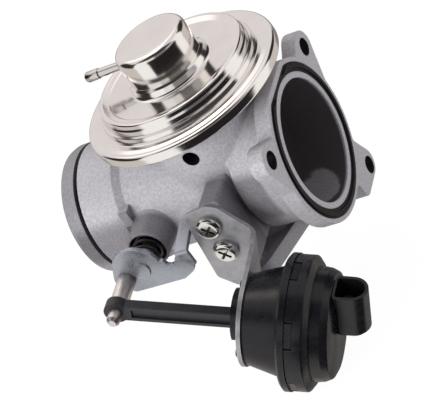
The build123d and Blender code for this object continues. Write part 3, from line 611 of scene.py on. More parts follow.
@dataclass(frozen=True)
class Vent:
    """The pedestal's vent along Y, on the lever side: its place and radius in millimetres."""

    x: float = -40.6
    z: float = 29.7
    radius: float = 3.9


# the bolt holes and the vent mark where painted shade darkens the hole walls
BOLTHOLES = (Bolthole(39.0, 23.5), Bolthole(-39.0, 23.5), Bolthole(28.0, -42.1))
VENT = Vent()


def tone_and_shade_group() -> bpy.types.NodeTree:
    """Darker places of the casting: painted shade on the boss and pad, the turned hose end's own tone, and
    painted shade in the holes.

    The side output, painted shade on the boss and pad, is one past Depth millimetres on the -Y side,
    behind X and between Low and High, and End is one beyond the hose end's X.  The hole output, painted
    shade inside the holes, is one within the radius of a bolt hole or of the vent.

    Returns:
        The node group.
    """
    values = {"Depth": -29.5, "X": -16.0, "Low": -24.0, "High": 27.0, "End X": -111.0}
    graph, given, result = new_group("casting_tone_and_painted_shade", values, ("Side", "End", "Hole Shade"))
    x, y, z = graph.millimetres()
    # side: painted shade on the boss and pad
    side = graph.ramp(graph.maths("SUBTRACT", given.outputs["Low"], z), 1.5, -1.5)
    for name, value in (("Depth", y), ("X", x), ("High", z)):
        past = graph.maths("SUBTRACT", value, given.outputs[name])
        side = graph.maths("MULTIPLY", side, graph.ramp(past, 1.5, -1.5))
    end = graph.ramp(graph.maths("SUBTRACT", x, given.outputs["End X"]), 0.2, -0.4)

    def within(aside: object, above: object, radius: float) -> bpy.types.NodeSocket:
        """One where two distances from a hole's line lie inside its radius."""
        return graph.ramp(graph.length(aside, above), radius + 0.05, radius - 0.05)

    # hole: painted shade inside the vent and the bolt holes
    aside, above = graph.maths("SUBTRACT", x, VENT.x), graph.maths("SUBTRACT", z, VENT.z)
    hole_shade = graph.maths("MULTIPLY", within(aside, above, VENT.radius), graph.maths("LESS_THAN", y, 0.0))
    for bolt in BOLTHOLES:
        aside, above = graph.maths("SUBTRACT", y, bolt.y), graph.maths("SUBTRACT", z, bolt.z)
        hole_shade = graph.maths("MAXIMUM", hole_shade, within(aside, above, bolt.radius))
    graph.send({"Side": side, "End": end, "Hole Shade": hole_shade}, result)
    return graph.tree


class Effects:
    """The shared node groups, built once and placed in each material with its own values."""

    def __init__(self) -> None:
        """Build every group."""
        self.trees = {
            "grain": grain_group(),
            "edges": edge_group(),
            "painted_shade": recess_shade_group(),
            "bore_shade": bore_shade_group(),
            "tone": tone_and_shade_group(),
        }

    def use(self, graph: Graph, effect: str, **values: float) -> bpy.types.NodeOutputs:
        """Place a group in a material.

        Args:
            graph: Graph of the material.
            effect: Short name of the group.
            values: Values for the group's inputs, by lower-case name.

        Returns:
            The outputs of the placed group.
        """
        node = graph.add("Group", node_tree=self.trees[effect])
        for name, value in values.items():
            node.inputs[name.title()].default_value = value
        return node.outputs


EFFECTS = Effects()


# ---------------------------------------------------------------- finishes
GRAIN_RANGE = (0.3, 0.7)     # where nearly all of a noise's values lie


@dataclass(frozen=True)
class Finish:
    """A surface finish: one Principled shader fed by the shared effects.

    base, worn, recess_shade_colour and bore_shade are linear colours, the last two painted shade: in
    recesses, and inside the pipe.  shade is how far the colour varies over the coarse grain, and
    rough_spread how far the roughness does.  fine, coarse and depth are the bump's cell sizes and
    height, and wear_radius, wear_patch, recess_shade_reach, recess_shade_patch and soft_edge are the
    reach and patch size of each effect, all in millimetres.  wear and recess_shade_strength are the
    effects' strengths, and polish is how much smoother a fully worn edge is.
    """

    name: str
    base: Colour
    worn: Colour
    # colour of the painted shade laid in recesses
    recess_shade_colour: Colour
    metallic: float
    roughness: float
    shade: float = 0.1
    rough_spread: float = 0.1
    fine: float = 0.3
    coarse: float = 4.0
    balance: float = 0.4
    depth: float = 0.02
    wear: float = 0.0
    wear_radius: float = 0.4
    wear_patch: float = 5.0
    polish: float = 0.12
    # strength, reach and patch size of the painted recess shade
    recess_shade_strength: float = 0.0
    recess_shade_reach: float = 3.0
    recess_shade_patch: float = 6.0
    specular: float = 0.5
    soft_edge: float = 0.0

    def material(self) -> bpy.types.Material:
        """Build the finish's material.

        Returns:
            The new material.
        """
        material = bpy.data.materials.new(self.name)
        material.use_nodes = True
        graph = Graph(material.node_tree)
        shader = material.node_tree.nodes["Principled BSDF"]
        grain = EFFECTS.use(graph, "grain", fine=self.fine, coarse=self.coarse, balance=self.balance)
        colour, rough = self.plain(graph, grain["Mask"])
        # painted shade: darken the colour where the point is shut in
        if self.recess_shade_strength > 0:
            painted_shade = EFFECTS.use(graph, "painted_shade", reach=self.recess_shade_reach, patch=self.recess_shade_patch)["Mask"]
            colour = graph.blend(graph.maths("MULTIPLY", painted_shade, self.recess_shade_strength), colour, self.recess_shade_colour)
        if self.wear > 0:
            edge = EFFECTS.use(graph, "edges", radius=self.wear_radius, patch=self.wear_patch)["Mask"]
            share = graph.maths("MULTIPLY", edge, self.wear)
            colour = graph.blend(share, colour, self.worn)
            rough = graph.maths("SUBTRACT", rough, graph.maths("MULTIPLY", share, self.polish))
        shader.inputs["Metallic"].default_value = self.metallic
        shader.inputs["Specular IOR Level"].default_value = self.specular
        bump = graph.add("Bump", {"Strength": 1.0, "Distance": self.depth * MM, "Height": grain["Height"]})
        if self.soft_edge > 0:
            soft = graph.add("Bevel", {"Radius": self.soft_edge * MM}, samples=6).outputs[0]
            graph.send({"Normal": soft}, bump)
        graph.send({"Roughness": rough, "Normal": bump.outputs[0]}, shader)
        graph.send(self.last_coat(graph, colour), shader)
        return material

    def plain(self, graph: Graph, grain: bpy.types.NodeSocket) -> tuple[bpy.types.NodeSocket, ...]:
        """Colour and roughness that vary with the coarse grain.

        Args:
            graph: Graph of the material.
            grain: Mask of the coarse grain.

        Returns:
            The colour and the roughness.
        """
        tone = graph.ramp(grain, *GRAIN_RANGE, 1 - self.shade, 1 + self.shade)
        grey = graph.add("CombineColor", {0: tone, 1: tone, 2: tone}).outputs[0]
        half = self.rough_spread / 2
        rough = graph.ramp(grain, *GRAIN_RANGE, self.roughness - half, self.roughness + half)
        return graph.blend(1.0, self.base, grey, "MULTIPLY"), rough

    def last_coat(self, graph: Graph, colour: bpy.types.NodeSocket) -> dict[str, bpy.types.NodeSocket]:
        """What lies over the finish, which for a plain one is nothing.

        Args:
            graph: Graph of the material.
            colour: Colour so far.

        Returns:
            Sockets for the shader's inputs, by the inputs' names.
        """
        return {"Base Color": colour}


@dataclass(frozen=True)
class CastingWithPaintedShade(Finish):
    """Casting with painted shade on its boss, pad and holes, a darker turned hose end, and painted shade in
    its pipe.

    side, end and hole_shade multiply the colour in the places that tone_and_shade_group names: side and
    hole_shade are painted shade, end is the hose end's own tone.  bore_shade is the colour of the painted
    shade inside the pipe, and lit_patch is how much of it stays in the painted pool of light low in it.
    """

    # painted shade on the boss and pad
    side: Colour = (0.48, 0.47, 0.48)
    end: Colour = (0.62, 0.62, 0.62)
    # painted shade inside the holes
    hole_shade: Colour = (0.05, 0.045, 0.045)
    # painted shade inside the pipe, dark and not metallic
    bore_shade: Colour = (0.064, 0.056, 0.057)
    # share of the painted shade left in the painted pool of light
    lit_patch: float = 0.5

    def last_coat(self, graph: Graph, colour: bpy.types.NodeSocket) -> dict[str, bpy.types.NodeSocket]:
        """Lay the painted shade and the hose end's tone, then the painted shade inside the pipe, which isn't
        metallic.

        Args:
            graph: Graph of the material.
            colour: Colour so far.

        Returns:
            Sockets for the shader's inputs, by the inputs' names.
        """
        # painted shade on the boss, pad and holes, and the hose end's own tone
        toned_and_shaded_places = EFFECTS.use(graph, "tone")
        for name, tone in (("Side", self.side), ("End", self.end), ("Hole Shade", self.hole_shade)):
            colour = graph.blend(toned_and_shaded_places[name], colour, tone, "MULTIPLY")
        # painted shade inside the pipe, thinned where a painted pool of light lies low in it
        bore_shade = EFFECTS.use(graph, "bore_shade")
        cover = graph.maths("MULTIPLY", bore_shade["Mask"], graph.ramp(bore_shade["Lit Patch"], 0.0, 1.0, 1.0, self.lit_patch))
        bare = graph.maths("SUBTRACT", 1.0, bore_shade["Mask"])
        metallic = graph.maths("MULTIPLY", self.metallic, bare)
        return {"Base Color": graph.blend(cover, colour, self.bore_shade), "Metallic": metallic}


class Palette(Enum):
    """Every finish of the valve."""

    # each finish's third colour is that of the painted shade in its recesses
    CASTING = CastingWithPaintedShade(
        "shot_blasted_casting", (0.47, 0.455, 0.485), (0.70, 0.70, 0.72), (0.13, 0.12, 0.125), 0.15, 0.46,
        shade=0.15, rough_spread=0.12, fine=0.6, coarse=1.1, balance=0.35, depth=0.16,
        wear=0.35, wear_radius=0.8, recess_shade_strength=0.62, recess_shade_reach=9.0, soft_edge=0.7,
    )
    NICKEL = Finish(
        "bright_nickel", (0.86, 0.83, 0.81), (0.9, 0.88, 0.86), (0.3, 0.27, 0.24), 1.0, 0.13,
        shade=0.02, rough_spread=0.05, fine=3.0, coarse=12.0, balance=0.7, depth=0.006,
        recess_shade_strength=0.15, recess_shade_reach=2.0,
    )
    BRIGHT_TUBE = Finish(
        "bright_tube", (0.62, 0.60, 0.59), (0.9, 0.88, 0.86), (0.03, 0.027, 0.025), 1.0, 0.10,
        shade=0.03, rough_spread=0.04, fine=0.4, coarse=2.0, balance=0.5, depth=0.006,
        recess_shade_strength=0.7, recess_shade_reach=1.5,
    )
    ZINC_SHEET = Finish(
        "zinc_plated_sheet", (0.375, 0.37, 0.39), (0.80, 0.81, 0.83), (0.2, 0.19, 0.2), 0.75, 0.34,
        shade=0.12, rough_spread=0.14, fine=0.5, coarse=4.0, balance=0.6, depth=0.012,
        wear=0.7, wear_radius=0.45, recess_shade_strength=0.2,
    )
    BLUE_ZINC = Finish(
        "blue_zinc_plating", (0.365, 0.38, 0.43), (0.84, 0.85, 0.87), (0.14, 0.14, 0.16), 0.75, 0.30,
        shade=0.12, rough_spread=0.16, fine=0.5, coarse=4.0, balance=0.6, depth=0.012,
        wear=0.8, wear_radius=0.5, recess_shade_strength=0.3,
    )
    BRIGHT_STEEL = Finish(
        "bright_turned_steel", (0.78, 0.73, 0.71), (0.88, 0.87, 0.86), (0.12, 0.10, 0.09), 1.0, 0.40,
        shade=0.10, rough_spread=0.12, fine=0.2, coarse=2.5, balance=0.4, depth=0.008,
        wear=0.5, wear_radius=0.4, recess_shade_strength=0.6, recess_shade_reach=2.5,
    )
    SCREW = Finish(
        "screw_plating", (0.74, 0.73, 0.71), (0.92, 0.92, 0.9), (0.06, 0.06, 0.06), 1.0, 0.12,
        shade=0.05, rough_spread=0.06, fine=0.4, coarse=3.0, balance=0.5, depth=0.008,
        wear=0.5, wear_radius=0.25, recess_shade_strength=0.6, recess_shade_reach=1.4,
    )
    SPRING_WIRE = Finish(
        "spring_wire", (0.10, 0.095, 0.095), (0.4, 0.4, 0.4), (0.02, 0.02, 0.02), 1.0, 0.40,
        shade=0.12, rough_spread=0.1, fine=0.2, coarse=1.5, depth=0.008, recess_shade_strength=0.6,
    )
    NYLON = Finish(
        "moulded_nylon", (0.0065, 0.0065, 0.0085), (0.030, 0.030, 0.037), (0.008, 0.008, 0.008), 0.0, 0.27,
        shade=0.12, rough_spread=0.08, fine=0.35, coarse=3.0, balance=0.35, depth=0.010,
        wear=0.3, wear_radius=0.5, recess_shade_strength=0.1, specular=0.34,
    )
    NYLON_DULL = Finish(
        "rod_nylon", (0.020, 0.020, 0.024), (0.05, 0.05, 0.058), (0.01, 0.01, 0.01), 0.0, 0.40,
        shade=0.15, rough_spread=0.12, fine=0.3, coarse=2.5, balance=0.4, depth=0.012,
        wear=0.4, wear_radius=0.4, specular=0.42,
    )
    RUBBER = Finish(
        "seal_rubber", (0.006, 0.006, 0.007), (0.05, 0.05, 0.05), (0.02, 0.02, 0.02), 0.0, 0.55,
        shade=0.15, fine=0.25, coarse=2.0, depth=0.01, recess_shade_strength=0.1, specular=0.20,
    )
    BRONZE = Finish(
        "sintered_bronze", (0.42, 0.29, 0.15), (0.6, 0.48, 0.3), (0.1, 0.06, 0.03), 1.0, 0.42,
        shade=0.12, fine=0.15, coarse=1.5, depth=0.02, recess_shade_strength=0.4,
    )
    BRASS = Finish(
        "flap_brass", (0.56, 0.46, 0.26), (0.75, 0.66, 0.45), (0.1, 0.07, 0.04), 1.0, 0.36,
        shade=0.10, fine=0.2, coarse=6.0, depth=0.008, wear=0.3, recess_shade_strength=0.3,
    )
    STAINED_STEEL = Finish(
        "heat_stained_steel", (0.30, 0.26, 0.23), (0.5, 0.46, 0.42), (0.05, 0.04, 0.03), 1.0, 0.40,
        shade=0.22, fine=0.3, coarse=4.0, depth=0.02, recess_shade_strength=0.6,
    )
    IRON = Finish(
        "turned_iron", (0.16, 0.155, 0.15), (0.4, 0.4, 0.4), (0.04, 0.03, 0.03), 1.0, 0.42,
        shade=0.12, fine=0.25, coarse=2.5, depth=0.02, wear=0.3, recess_shade_strength=0.5,
    )


@dataclass(frozen=True)
class Skin:
    """How one CAD node is dressed: its finish, its record slot and its bevel in millimetres."""

    node: str
    finish: Palette
    slot: str
    bevel: float = 0.0


MATERIALS: dict[Palette, bpy.types.Material] = {}


def material_of(finish: Palette) -> bpy.types.Material:
    """Material of a finish, built when it is first asked for."""
    if finish not in MATERIALS:
        MATERIALS[finish] = finish.value.material()
    return MATERIALS[finish]


def dress(piece: bpy.types.Object, finish: Palette) -> bpy.types.Object:
    """Give a piece its finish.

    Args:
        piece: Object to dress.
        finish: Finish of the whole piece.

    Returns:
        The same object.
    """
    piece.data.materials.clear()
    piece.data.materials.append(material_of(finish))
    LOG.info("%s: %s, %d faces", piece.name, finish.value.name, len(piece.data.polygons))
    return piece


def dress_node(skin: Skin) -> bpy.types.Object:
    """Copy a CAD node, ease its edges and dress the copy.

    Args:
        skin: What the node wears.

    Returns:
        The dressed copy.
    """
    piece = copy_of(skin.node, flat=skin.bevel > 0)
    if skin.bevel > 0:
        ease_edges(piece, skin.bevel)
    return dress(piece, skin.finish)


# ---------------------------------------------------------------- sub-assemblies
@dataclass
class Housing:
    """The casting with its seals and the pieces pressed into it."""

    skins: tuple[Skin, ...] = (
        Skin("valve_housing", Palette.CASTING, "cast_housing"),
        Skin("manifold_gasket", Palette.RUBBER, "gasket", 0.25),
        Skin("shaft_bush_front", Palette.BRONZE, "bush"),
        Skin("shaft_bush_rear", Palette.BRONZE, "bush"),
        Skin("shaft_seal", Palette.RUBBER, "seal"),
        Skin("shaft_end_plug", Palette.ZINC_SHEET, "end_plug"),
        Skin("valve_seat", Palette.STAINED_STEEL, "seat"),
        Skin("stem_guide", Palette.IRON, "guide"),
    )
    ring_radius: float = 0.9
    ring_steps: int = 16

    def build(self) -> None:
        """Dress the CAD nodes and turn the hose ring."""
        for skin in self.skins:
            dress_node(skin)
        self.hose_ring()

    def hose_ring(self) -> None:
        """Torus in the spigot's groove: a circle of the ring's radius turned about the duct."""
        low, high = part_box("hose_o_ring")
        centre, reach = (low.x + high.x) / 2 / MM, high.z / MM - self.ring_radius
        angle = np.linspace(0, 2 * np.pi, self.ring_steps, endpoint=False)
        across, along = self.ring_radius * np.cos(angle), self.ring_radius * np.sin(angle)
        ring = turned("hose_o_ring_skin", np.stack([reach + across, centre + along], 1), DUCT, ring=True)
        dress(stand_for(ring, "hose_o_ring"), Palette.RUBBER)


@dataclass
class FlapGear:
    """Shaft, flap, lever and pin, which turn together."""

    skins: tuple[Skin, ...] = (
        Skin("throttle_flap", Palette.BRASS, "flap", 0.2),
        Skin("flap_screws", Palette.SCREW, "flap_screws", 0.12),
        Skin("throttle_lever", Palette.BLUE_ZINC, "lever", 0.35),
        Skin("lever_pin", Palette.BRIGHT_STEEL, "pin", 0.2),
    )
    spring_radius: float = 6.6
    spring_wire: float = 0.7
    spring_turns: float = 5.0
    riveted_facing: float = -0.9

    def build(self) -> None:
        """Dress the CAD nodes and wind the return spring."""
        for skin in self.skins:
            dress_node(skin)
        self.shaft()
        self.return_spring()

    def shaft(self) -> None:
        """Flap shaft, whose riveted end was plated with the lever.

        The riveted end's faces are those in front of the lever that face forward.
        """
        shaft = dress_node(Skin("flap_shaft", Palette.BRIGHT_STEEL, "shaft"))
        shaft.data.materials.append(material_of(Palette.BLUE_ZINC))
        faces = shaft.data.polygons
        normals, centres = np.empty((2, len(faces), 3), np.float32)
        faces.foreach_get("normal", normals.ravel())
        faces.foreach_get("center", centres.ravel())
        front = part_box("throttle_lever")[0].y
        riveted = (normals[:, 1] < self.riveted_facing) & (centres[:, 1] < front)
        faces.foreach_set("material_index", riveted.astype(np.int32))

    def return_spring(self) -> None:
        """Torsion spring between the boss and the lever."""
        low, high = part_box("return_spring")
        shaft = Spindle((centre_of("flap_shaft")[0], 0.0, 0.0), (0.0, -1.0, 0.0), (1.0, 0.0, 0.0))
        start, end = -high.y / MM + self.spring_wire, -low.y / MM - self.spring_wire
        sizes = self.spring_radius, self.spring_wire, self.spring_turns
        spring = coil("return_spring_coil", shaft, start, end, *sizes)
        dress(stand_for(spring, "return_spring"), Palette.SPRING_WIRE)


@dataclass
class PoppetValve:
    """Poppet, stem, plates and the springy pieces of the vacuum capsule.

    disc_top and rim_low are the heights of the diaphragm's disc top and of its clamped rim, in millimetres.
    """

    skins: tuple[Skin, ...] = (
        Skin("valve_poppet", Palette.STAINED_STEEL, "poppet"),
        Skin("valve_stem", Palette.BRIGHT_STEEL, "stem"),
        Skin("stem_washer", Palette.ZINC_SHEET, "plates"),
        Skin("spring_plate", Palette.ZINC_SHEET, "plates"),
    )
    disc_top: float = 46.5
    rim_low: float = 47.9
    spring_radius: float = 12.0
    spring_wire: float = 1.1
    spring_turns: float = 5.0
    lift: float = 6.0

    def build(self) -> None:
        """Dress the CAD nodes and wind the capsule spring."""
        for skin in self.skins:
            dress_node(skin)
        self.diaphragm()
        self.valve_spring()

    def diaphragm(self) -> None:
        """Diaphragm, dressed and then taken off its body, with its place baked into its mesh."""
        piece = dress_node(Skin("valve_diaphragm", Palette.RUBBER, "diaphragm"))
        piece.parent = None
        STEM.point(self.disc_top)
        STEM.point(self.rim_low)
        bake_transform(piece)

    def valve_spring(self) -> None:
        """Compression spring wound about the stem between the ends of the CAD spring."""
        low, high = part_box("valve_spring")
        start, end = low.z / MM + self.spring_wire, high.z / MM - self.spring_wire
        sizes = self.spring_radius, self.spring_wire, self.spring_turns
        spring = stand_for(coil("valve_spring_coil", STEM, start, end, *sizes), "valve_spring")
        STEM.point(high.z / MM)
        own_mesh(spring)
        dress(spring, Palette.SPRING_WIRE)


@dataclass
class Capsule:
    """The vacuum capsule's bright pressings."""

    sheet: float = 1.0
    knob_radius: float = 17.7
    knob_top: float = 78.8
    rim_radius: float = 48.2
    rim_low: float = 46.0
    rim_high: float = 51.4
    steps: int = 288
    crease: float = math.radians(50.0)
    skins: tuple[Skin, ...] = (
        Skin("capsule_base", Palette.NICKEL, "capsule_base"),
        Skin("capsule_screws", Palette.SCREW, "inner_screws"),
        Skin("vacuum_nipple", Palette.BRIGHT_TUBE, "nipple", 0.12),
    )

    def build(self) -> None:
        """Dress the CAD nodes and turn the cover."""
        for skin in self.skins:
            dress_node(skin)
        self.cover()

    def outer_profile(self) -> list[Corner]:
        """Outline of the cover's outside, from the axis out and down into the rim.

        Returns:
            (radius, height, fillet) of each corner.
        """
        return [
            (0.0, self.knob_top, 0.0),
            (self.knob_radius - 6, self.knob_top, 20.0),
            (self.knob_radius, self.knob_top - 0.35, 3.4),
            (self.knob_radius, 63.6, 0.6),
            (18.8, 62.6, 0.7),
            (20.2, 59.6, 2.2),
            (31.6, 59.2, 3.0),
            (34.4, 60.3, 1.2),
            (36.5, 60.3, 1.0),
            (36.7, 58.0, 0.4),
            (37.3, 57.1, 0.4),
            (37.6, 55.0, 0.5),
            (38.7, 54.3, 0.5),
            (39.3, 52.5, 0.5),
            (40.5, 51.7, 0.8),
            (43.3, 52.1, 1.6),
            (45.2, 51.55, 2.0),
            (self.rim_radius - 0.1, self.rim_high, 1.9),
            (self.rim_radius, self.rim_low, 1.1),
            (45.4, self.rim_low, 0.3),
        ]

    def inner_profile(self) -> list[Corner]:
        """Outline of the cover's inside, from the rim in and up to the axis.

        Returns:
            (radius, height, fillet) of each corner.
        """
        return [
            (45.4, self.rim_low + self.sheet, 0.0),
            (47.0, self.rim_low + self.sheet, 0.2),
            (46.6, self.rim_high - 1.9, 0.2),
            (45.2, self.rim_high - 1.6, 0.2),
            (43.3, 50.6, 0.4),
            (39.4, 50.5, 0.4),
            (38.3, 51.9, 0.4),
            (37.8, 53.6, 0.3),
            (36.7, 54.3, 0.3),
            (36.3, 56.6, 0.3),
            (35.7, 57.6, 0.3),
            (35.4, 59.2, 0.4),
            (34.6, 59.2, 0.3),
            (31.8, 58.1, 1.5),
            (19.3, 58.6, 1.0),
            (17.8, 61.8, 0.5),
            (self.knob_radius - self.sheet, 63.0, 0.5),
            (self.knob_radius - self.sheet, self.knob_top - self.sheet - 0.4, 2.4),
            (0.0, self.knob_top - self.sheet - 0.2, 0.0),
        ]

    def cover(self) -> None:
        """Cover with its rolled rim: the outer outline and the inner one turned about the stem."""
        profile = np.concatenate([rounded(self.outer_profile(), 10), rounded(self.inner_profile())])
        piece = turned("capsule_cover_shell", profile, STEM, steps=self.steps, sharp=self.crease)
        dress(stand_for(piece, "capsule_cover"), Palette.NICKEL)


@dataclass
class Actuator:
    """Vacuum actuator: bracket, screws, drum, cap, rod and what works inside them."""

    skins: tuple[Skin, ...] = (
        Skin("actuator_bracket", Palette.ZINC_SHEET, "bracket", 0.35),
        Skin("bracket_screws", Palette.SCREW, "bracket_screws", 0.15),
        Skin("actuator_drum", Palette.NYLON, "drum", 0.25),
        Skin("actuator_rivets", Palette.NYLON, "rivets"),
        Skin("actuator_cap", Palette.NYLON, "cap", 0.3),
        Skin("actuator_rod", Palette.NYLON_DULL, "rod", 0.35),
        Skin("actuator_piston", Palette.NYLON_DULL, "piston"),
        Skin("actuator_diaphragm", Palette.RUBBER, "diaphragm"),
    )
    spring_radius: float = 11.0
    spring_wire: float = 1.0
    spring_turns: float = 5.0
    spring_length: float = 28.8
    stroke: float = 13.3

    def build(self) -> None:
        """Dress the CAD nodes and wind the actuator's spring."""
        for skin in self.skins:
            dress_node(skin)
        self.spring()

    def spring(self) -> None:
        """Compression spring wound about the pull line, of the given length and centred on the CAD spring."""
        to_middle = np.array(centre_of("actuator_spring")) - np.array(PULL.origin)
        start = float(to_middle @ np.array(ALONG)) - self.spring_length / 2
        end = start + self.spring_length
        sizes = self.spring_radius, self.spring_wire, self.spring_turns
        spring = stand_for(coil("actuator_spring_coil", PULL, start, end, *sizes), "actuator_spring")
        PULL.point(end)
        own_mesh(spring)
        dress(spring, Palette.SPRING_WIRE)


# ---------------------------------------------------------------- studio
@dataclass(frozen=True)
class Panel:
    """A soft-edged rectangle of directions that bright metal shows.

    Bearings, rises and the width of the soft edge are in degrees.
    """

    bearings: tuple[float, float]
    rises: tuple[float, float]
    colour: Colour
    edge: float = 3.0

    def mask(
        self, graph: Graph, bearing: bpy.types.NodeSocket, rise: bpy.types.NodeSocket
    ) -> bpy.types.NodeSocket:
        """Share of the panel in a direction, as the product of four smooth steps.

        Args:
            graph: Graph of the world.
            bearing: Angle round the vertical, in radians.
            rise: Angle above the horizon, in radians.

        Returns:
            Socket that is one inside the panel.
        """
        share = None
        for value, (low, high) in ((bearing, self.bearings), (rise, self.rises)):
            enter = graph.ramp(value, math.radians(low - self.edge), math.radians(low + self.edge))
            leave = graph.ramp(value, math.radians(high + self.edge), math.radians(high - self.edge))
            inside = graph.maths("MULTIPLY", enter, leave)
            share = inside if share is None else graph.maths("MULTIPLY", share, inside)
        return share


@dataclass(frozen=True)
class SoftBox:
    """A square lamp that looks at the object: place and size in metres, power in watts."""

    name: str
    place: Place
    size: float
    power: float

    def hang(self, aim: Vector) -> None:
        """Link the lamp into the scene.

        Args:
            aim: Point that the lamp looks at.
        """
        data = bpy.data.lights.new(self.name, "AREA")
        data.shape, data.size, data.energy = "SQUARE", self.size, self.power
        lamp = bpy.data.objects.new(self.name, data)
        lamp.location = Vector(self.place)
        lamp.rotation_euler = (aim - lamp.location).to_track_quat("-Z", "Y").to_euler()
        lamp.visible_glossy = False
        bpy.context.scene.collection.objects.link(lamp)


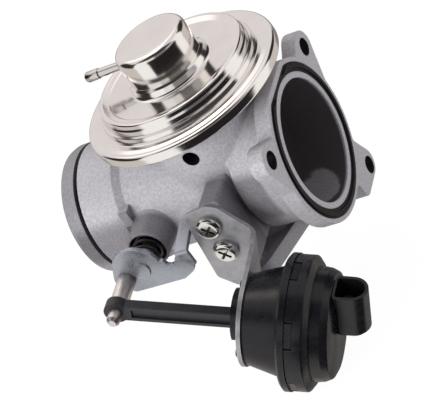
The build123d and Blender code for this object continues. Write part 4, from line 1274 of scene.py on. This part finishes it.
@dataclass
class Studio:
    """Camera, floor, lamps and the surroundings that bright metal shows.

    The panels lie over one another in their order, on a room of one light colour whose bearings are
    turned by room_turn degrees.  The sky's strength climbs with the rise between the two sky_rises.
    """

    room_turn: float = -70.0
    room_light: Colour = (0.80, 0.76, 0.755)
    panels: tuple[Panel, ...] = (
        # the table, darker at the far side
        Panel((-190, 190), (-100, 0), (0.64, 0.59, 0.55)),
        Panel((-190, -152), (-100, -2), (0.24, 0.225, 0.22)),
        Panel((148, 190), (-100, -2), (0.24, 0.225, 0.22)),
        # dark wall round the near side, and dark ceiling over it
        Panel((-122, 155), (0, 40), (0.030, 0.027, 0.026)),
        Panel((-76, 72), (40, 84), (0.040, 0.037, 0.036), 5.0),
        # the middle of the near side, blackest low down
        Panel((-28, 72), (-100, 5), (0.018, 0.015, 0.016)),
        Panel((-28, 72), (5, 20), (0.055, 0.050, 0.048)),
        Panel((-28, 72), (20, 36), (0.240, 0.225, 0.22)),
        # small lights at its upper corners
        Panel((-28, -4), (18, 44), (0.85, 0.84, 0.82)),
        Panel((40, 76), (18, 40), (0.45, 0.44, 0.43)),
        # a tall white screen on each side of it
        Panel((-70, -28), (-100, 44), (1.0, 0.99, 0.97)),
        Panel((74, 108), (-100, 44), (1.0, 0.98, 0.94)),
        # ceiling lights at the far side
        Panel((-190, -125), (38, 82), (1.30, 1.24, 1.18), 4.0),
        Panel((170, 190), (40, 82), (1.35, 1.28, 1.22), 4.0),
        Panel((-190, -142), (58, 76), (2.9, 2.7, 2.5), 4.0),
    )
    boxes: tuple[SoftBox, ...] = (
        SoftBox("key_box", (-0.34, -1.10, 0.52), 0.6, 12.5),
        SoftBox("side_box", (1.1, 0.15, 0.45), 0.6, 2.2),
        SoftBox("back_box", (-0.1, 0.9, 0.9), 0.8, 3.0),
    )
    sky: Colour = (0.95, 0.95, 1.0)
    sky_rises: tuple[float, float] = (-25.0, 75.0)
    sky_strengths: tuple[float, float] = (0.24, 0.64)
    camera_place: Place = (403.7, -675.7, 465.4)
    camera_right: Place = (0.8321, 0.2081, -0.5141)
    camera_up: Place = (0.2600, 0.6724, 0.6930)
    focal_length: float = 171.0
    sensor_width: float = 36.0
    floor_gap: float = 0.5
    floor_size: float = 8000.0
    floor_colour: Colour = (0.86, 0.86, 0.86)
    floor_glow: float = 1.035
    floor_share: float = 0.93

    def build(self) -> None:
        """Set up everything around the object."""
        self.camera()
        self.floor()
        for box in self.boxes:
            box.hang((CAD_BOX[0] + CAD_BOX[1]) / 2)
        self.surroundings()
        bpy.context.scene.view_settings.view_transform = "Standard"

    def camera(self) -> None:
        """Long lens from above the lever side."""
        data = bpy.data.cameras.new("studio_camera")
        data.lens = self.focal_length
        data.sensor_width = self.sensor_width
        data.clip_start, data.clip_end = 0.01, 50.0
        camera = bpy.data.objects.new("studio_camera", data)
        right, up = Vector(self.camera_right).normalized(), Vector(self.camera_up)
        up = (up - up.dot(right) * right).normalized()
        back = right.cross(up)
        turn = Matrix((right, up, back)).transposed().to_4x4()
        camera.matrix_world = Matrix.Translation(Vector(self.camera_place) * MM) @ turn
        bpy.context.scene.collection.objects.link(camera)
        bpy.context.scene.camera = camera

    def floor(self) -> None:
        """Pale floor under the lowest point, near white to the camera and plain to the light."""
        half, height = self.floor_size * MM / 2, CAD_BOX[0].z - self.floor_gap * MM
        corners = [(-half, -half, height), (half, -half, height), (half, half, height), (-half, half, height)]
        mesh = bpy.data.meshes.new("studio_floor")
        mesh.from_pydata(corners, [], [(0, 1, 2, 3)])
        mesh.materials.append(self.floor_material())
        floor = bpy.data.objects.new("studio_floor", mesh)
        floor.visible_glossy = False
        bpy.context.scene.collection.objects.link(floor)

    def floor_material(self) -> bpy.types.Material:
        """Dull material that the camera sees mostly as a glow, so that only shadows show on it.

        Returns:
            The new material.
        """
        material = bpy.data.materials.new("pale_floor")
        material.use_nodes = True
        graph = Graph(material.node_tree)
        shader = material.node_tree.nodes["Principled BSDF"]
        shader.inputs["Base Color"].default_value = (*self.floor_colour, 1.0)
        shader.inputs["Roughness"].default_value = 0.9
        shader.inputs["Specular IOR Level"].default_value = 0.0
        glow = graph.add("Emission", {"Color": (1.0, 1.0, 1.0, 1.0), "Strength": self.floor_glow})
        seen = graph.maths("MULTIPLY", graph.add("LightPath").outputs["Is Camera Ray"], self.floor_share)
        mix = graph.add("MixShader", {0: seen, 1: shader.outputs[0], 2: glow.outputs[0]})
        graph.send({"Surface": mix.outputs[0]}, material.node_tree.nodes["Material Output"])
        return material

    def surroundings(self) -> None:
        """World: white to the camera, soft light from above, and for reflections a room of panels."""
        world = bpy.data.worlds.new("studio_world")
        bpy.context.scene.world = world
        world.use_nodes = True
        graph = Graph(world.node_tree)
        x, y, z = graph.add("SeparateXYZ", {0: graph.add("TexCoord").outputs["Generated"]}).outputs
        turn = math.radians(self.room_turn)
        ahead = graph.maths("MULTIPLY", x, math.cos(turn)), graph.maths("MULTIPLY", y, math.sin(turn))
        aside = graph.maths("MULTIPLY", y, math.cos(turn)), graph.maths("MULTIPLY", x, math.sin(turn))
        bearing = graph.maths("ARCTAN2", graph.maths("SUBTRACT", *aside), graph.maths("ADD", *ahead))
        rise = graph.maths("ARCSINE", z)
        room = self.room_light
        for panel in self.panels:
            room = graph.blend(panel.mask(graph, bearing, rise), room, panel.colour)
        low, high = (math.radians(angle) for angle in self.sky_rises)
        strength = graph.ramp(rise, low, high, *self.sky_strengths)
        plain = graph.add("Background", {"Color": (*self.sky, 1.0), "Strength": strength})
        seen = graph.add("Background", {"Color": (1.0, 1.0, 1.0, 1.0), "Strength": 1.0})
        shown = graph.add("Background", {"Color": room, "Strength": 1.0})
        path = graph.add("LightPath").outputs
        mix = graph.add("MixShader", {0: path["Is Glossy Ray"], 1: plain.outputs[0], 2: shown.outputs[0]})
        mix = graph.add("MixShader", {0: path["Is Camera Ray"], 1: mix.outputs[0], 2: seen.outputs[0]})
        output = next(node for node in world.node_tree.nodes if node.type == "OUTPUT_WORLD")
        graph.send({"Surface": mix.outputs[0]}, output)


def main() -> None:
    """Build the sub-assemblies and the studio."""
    for assembly in (Housing(), FlapGear(), PoppetValve(), Capsule(), Actuator(), Studio()):
        assembly.build()
        LOG.info("%s done", type(assembly).__name__)
    bpy.context.view_layer.update()


if __name__ == "__main__":
    logging.basicConfig(level=logging.INFO, format="%(name)s %(message)s")
    main()
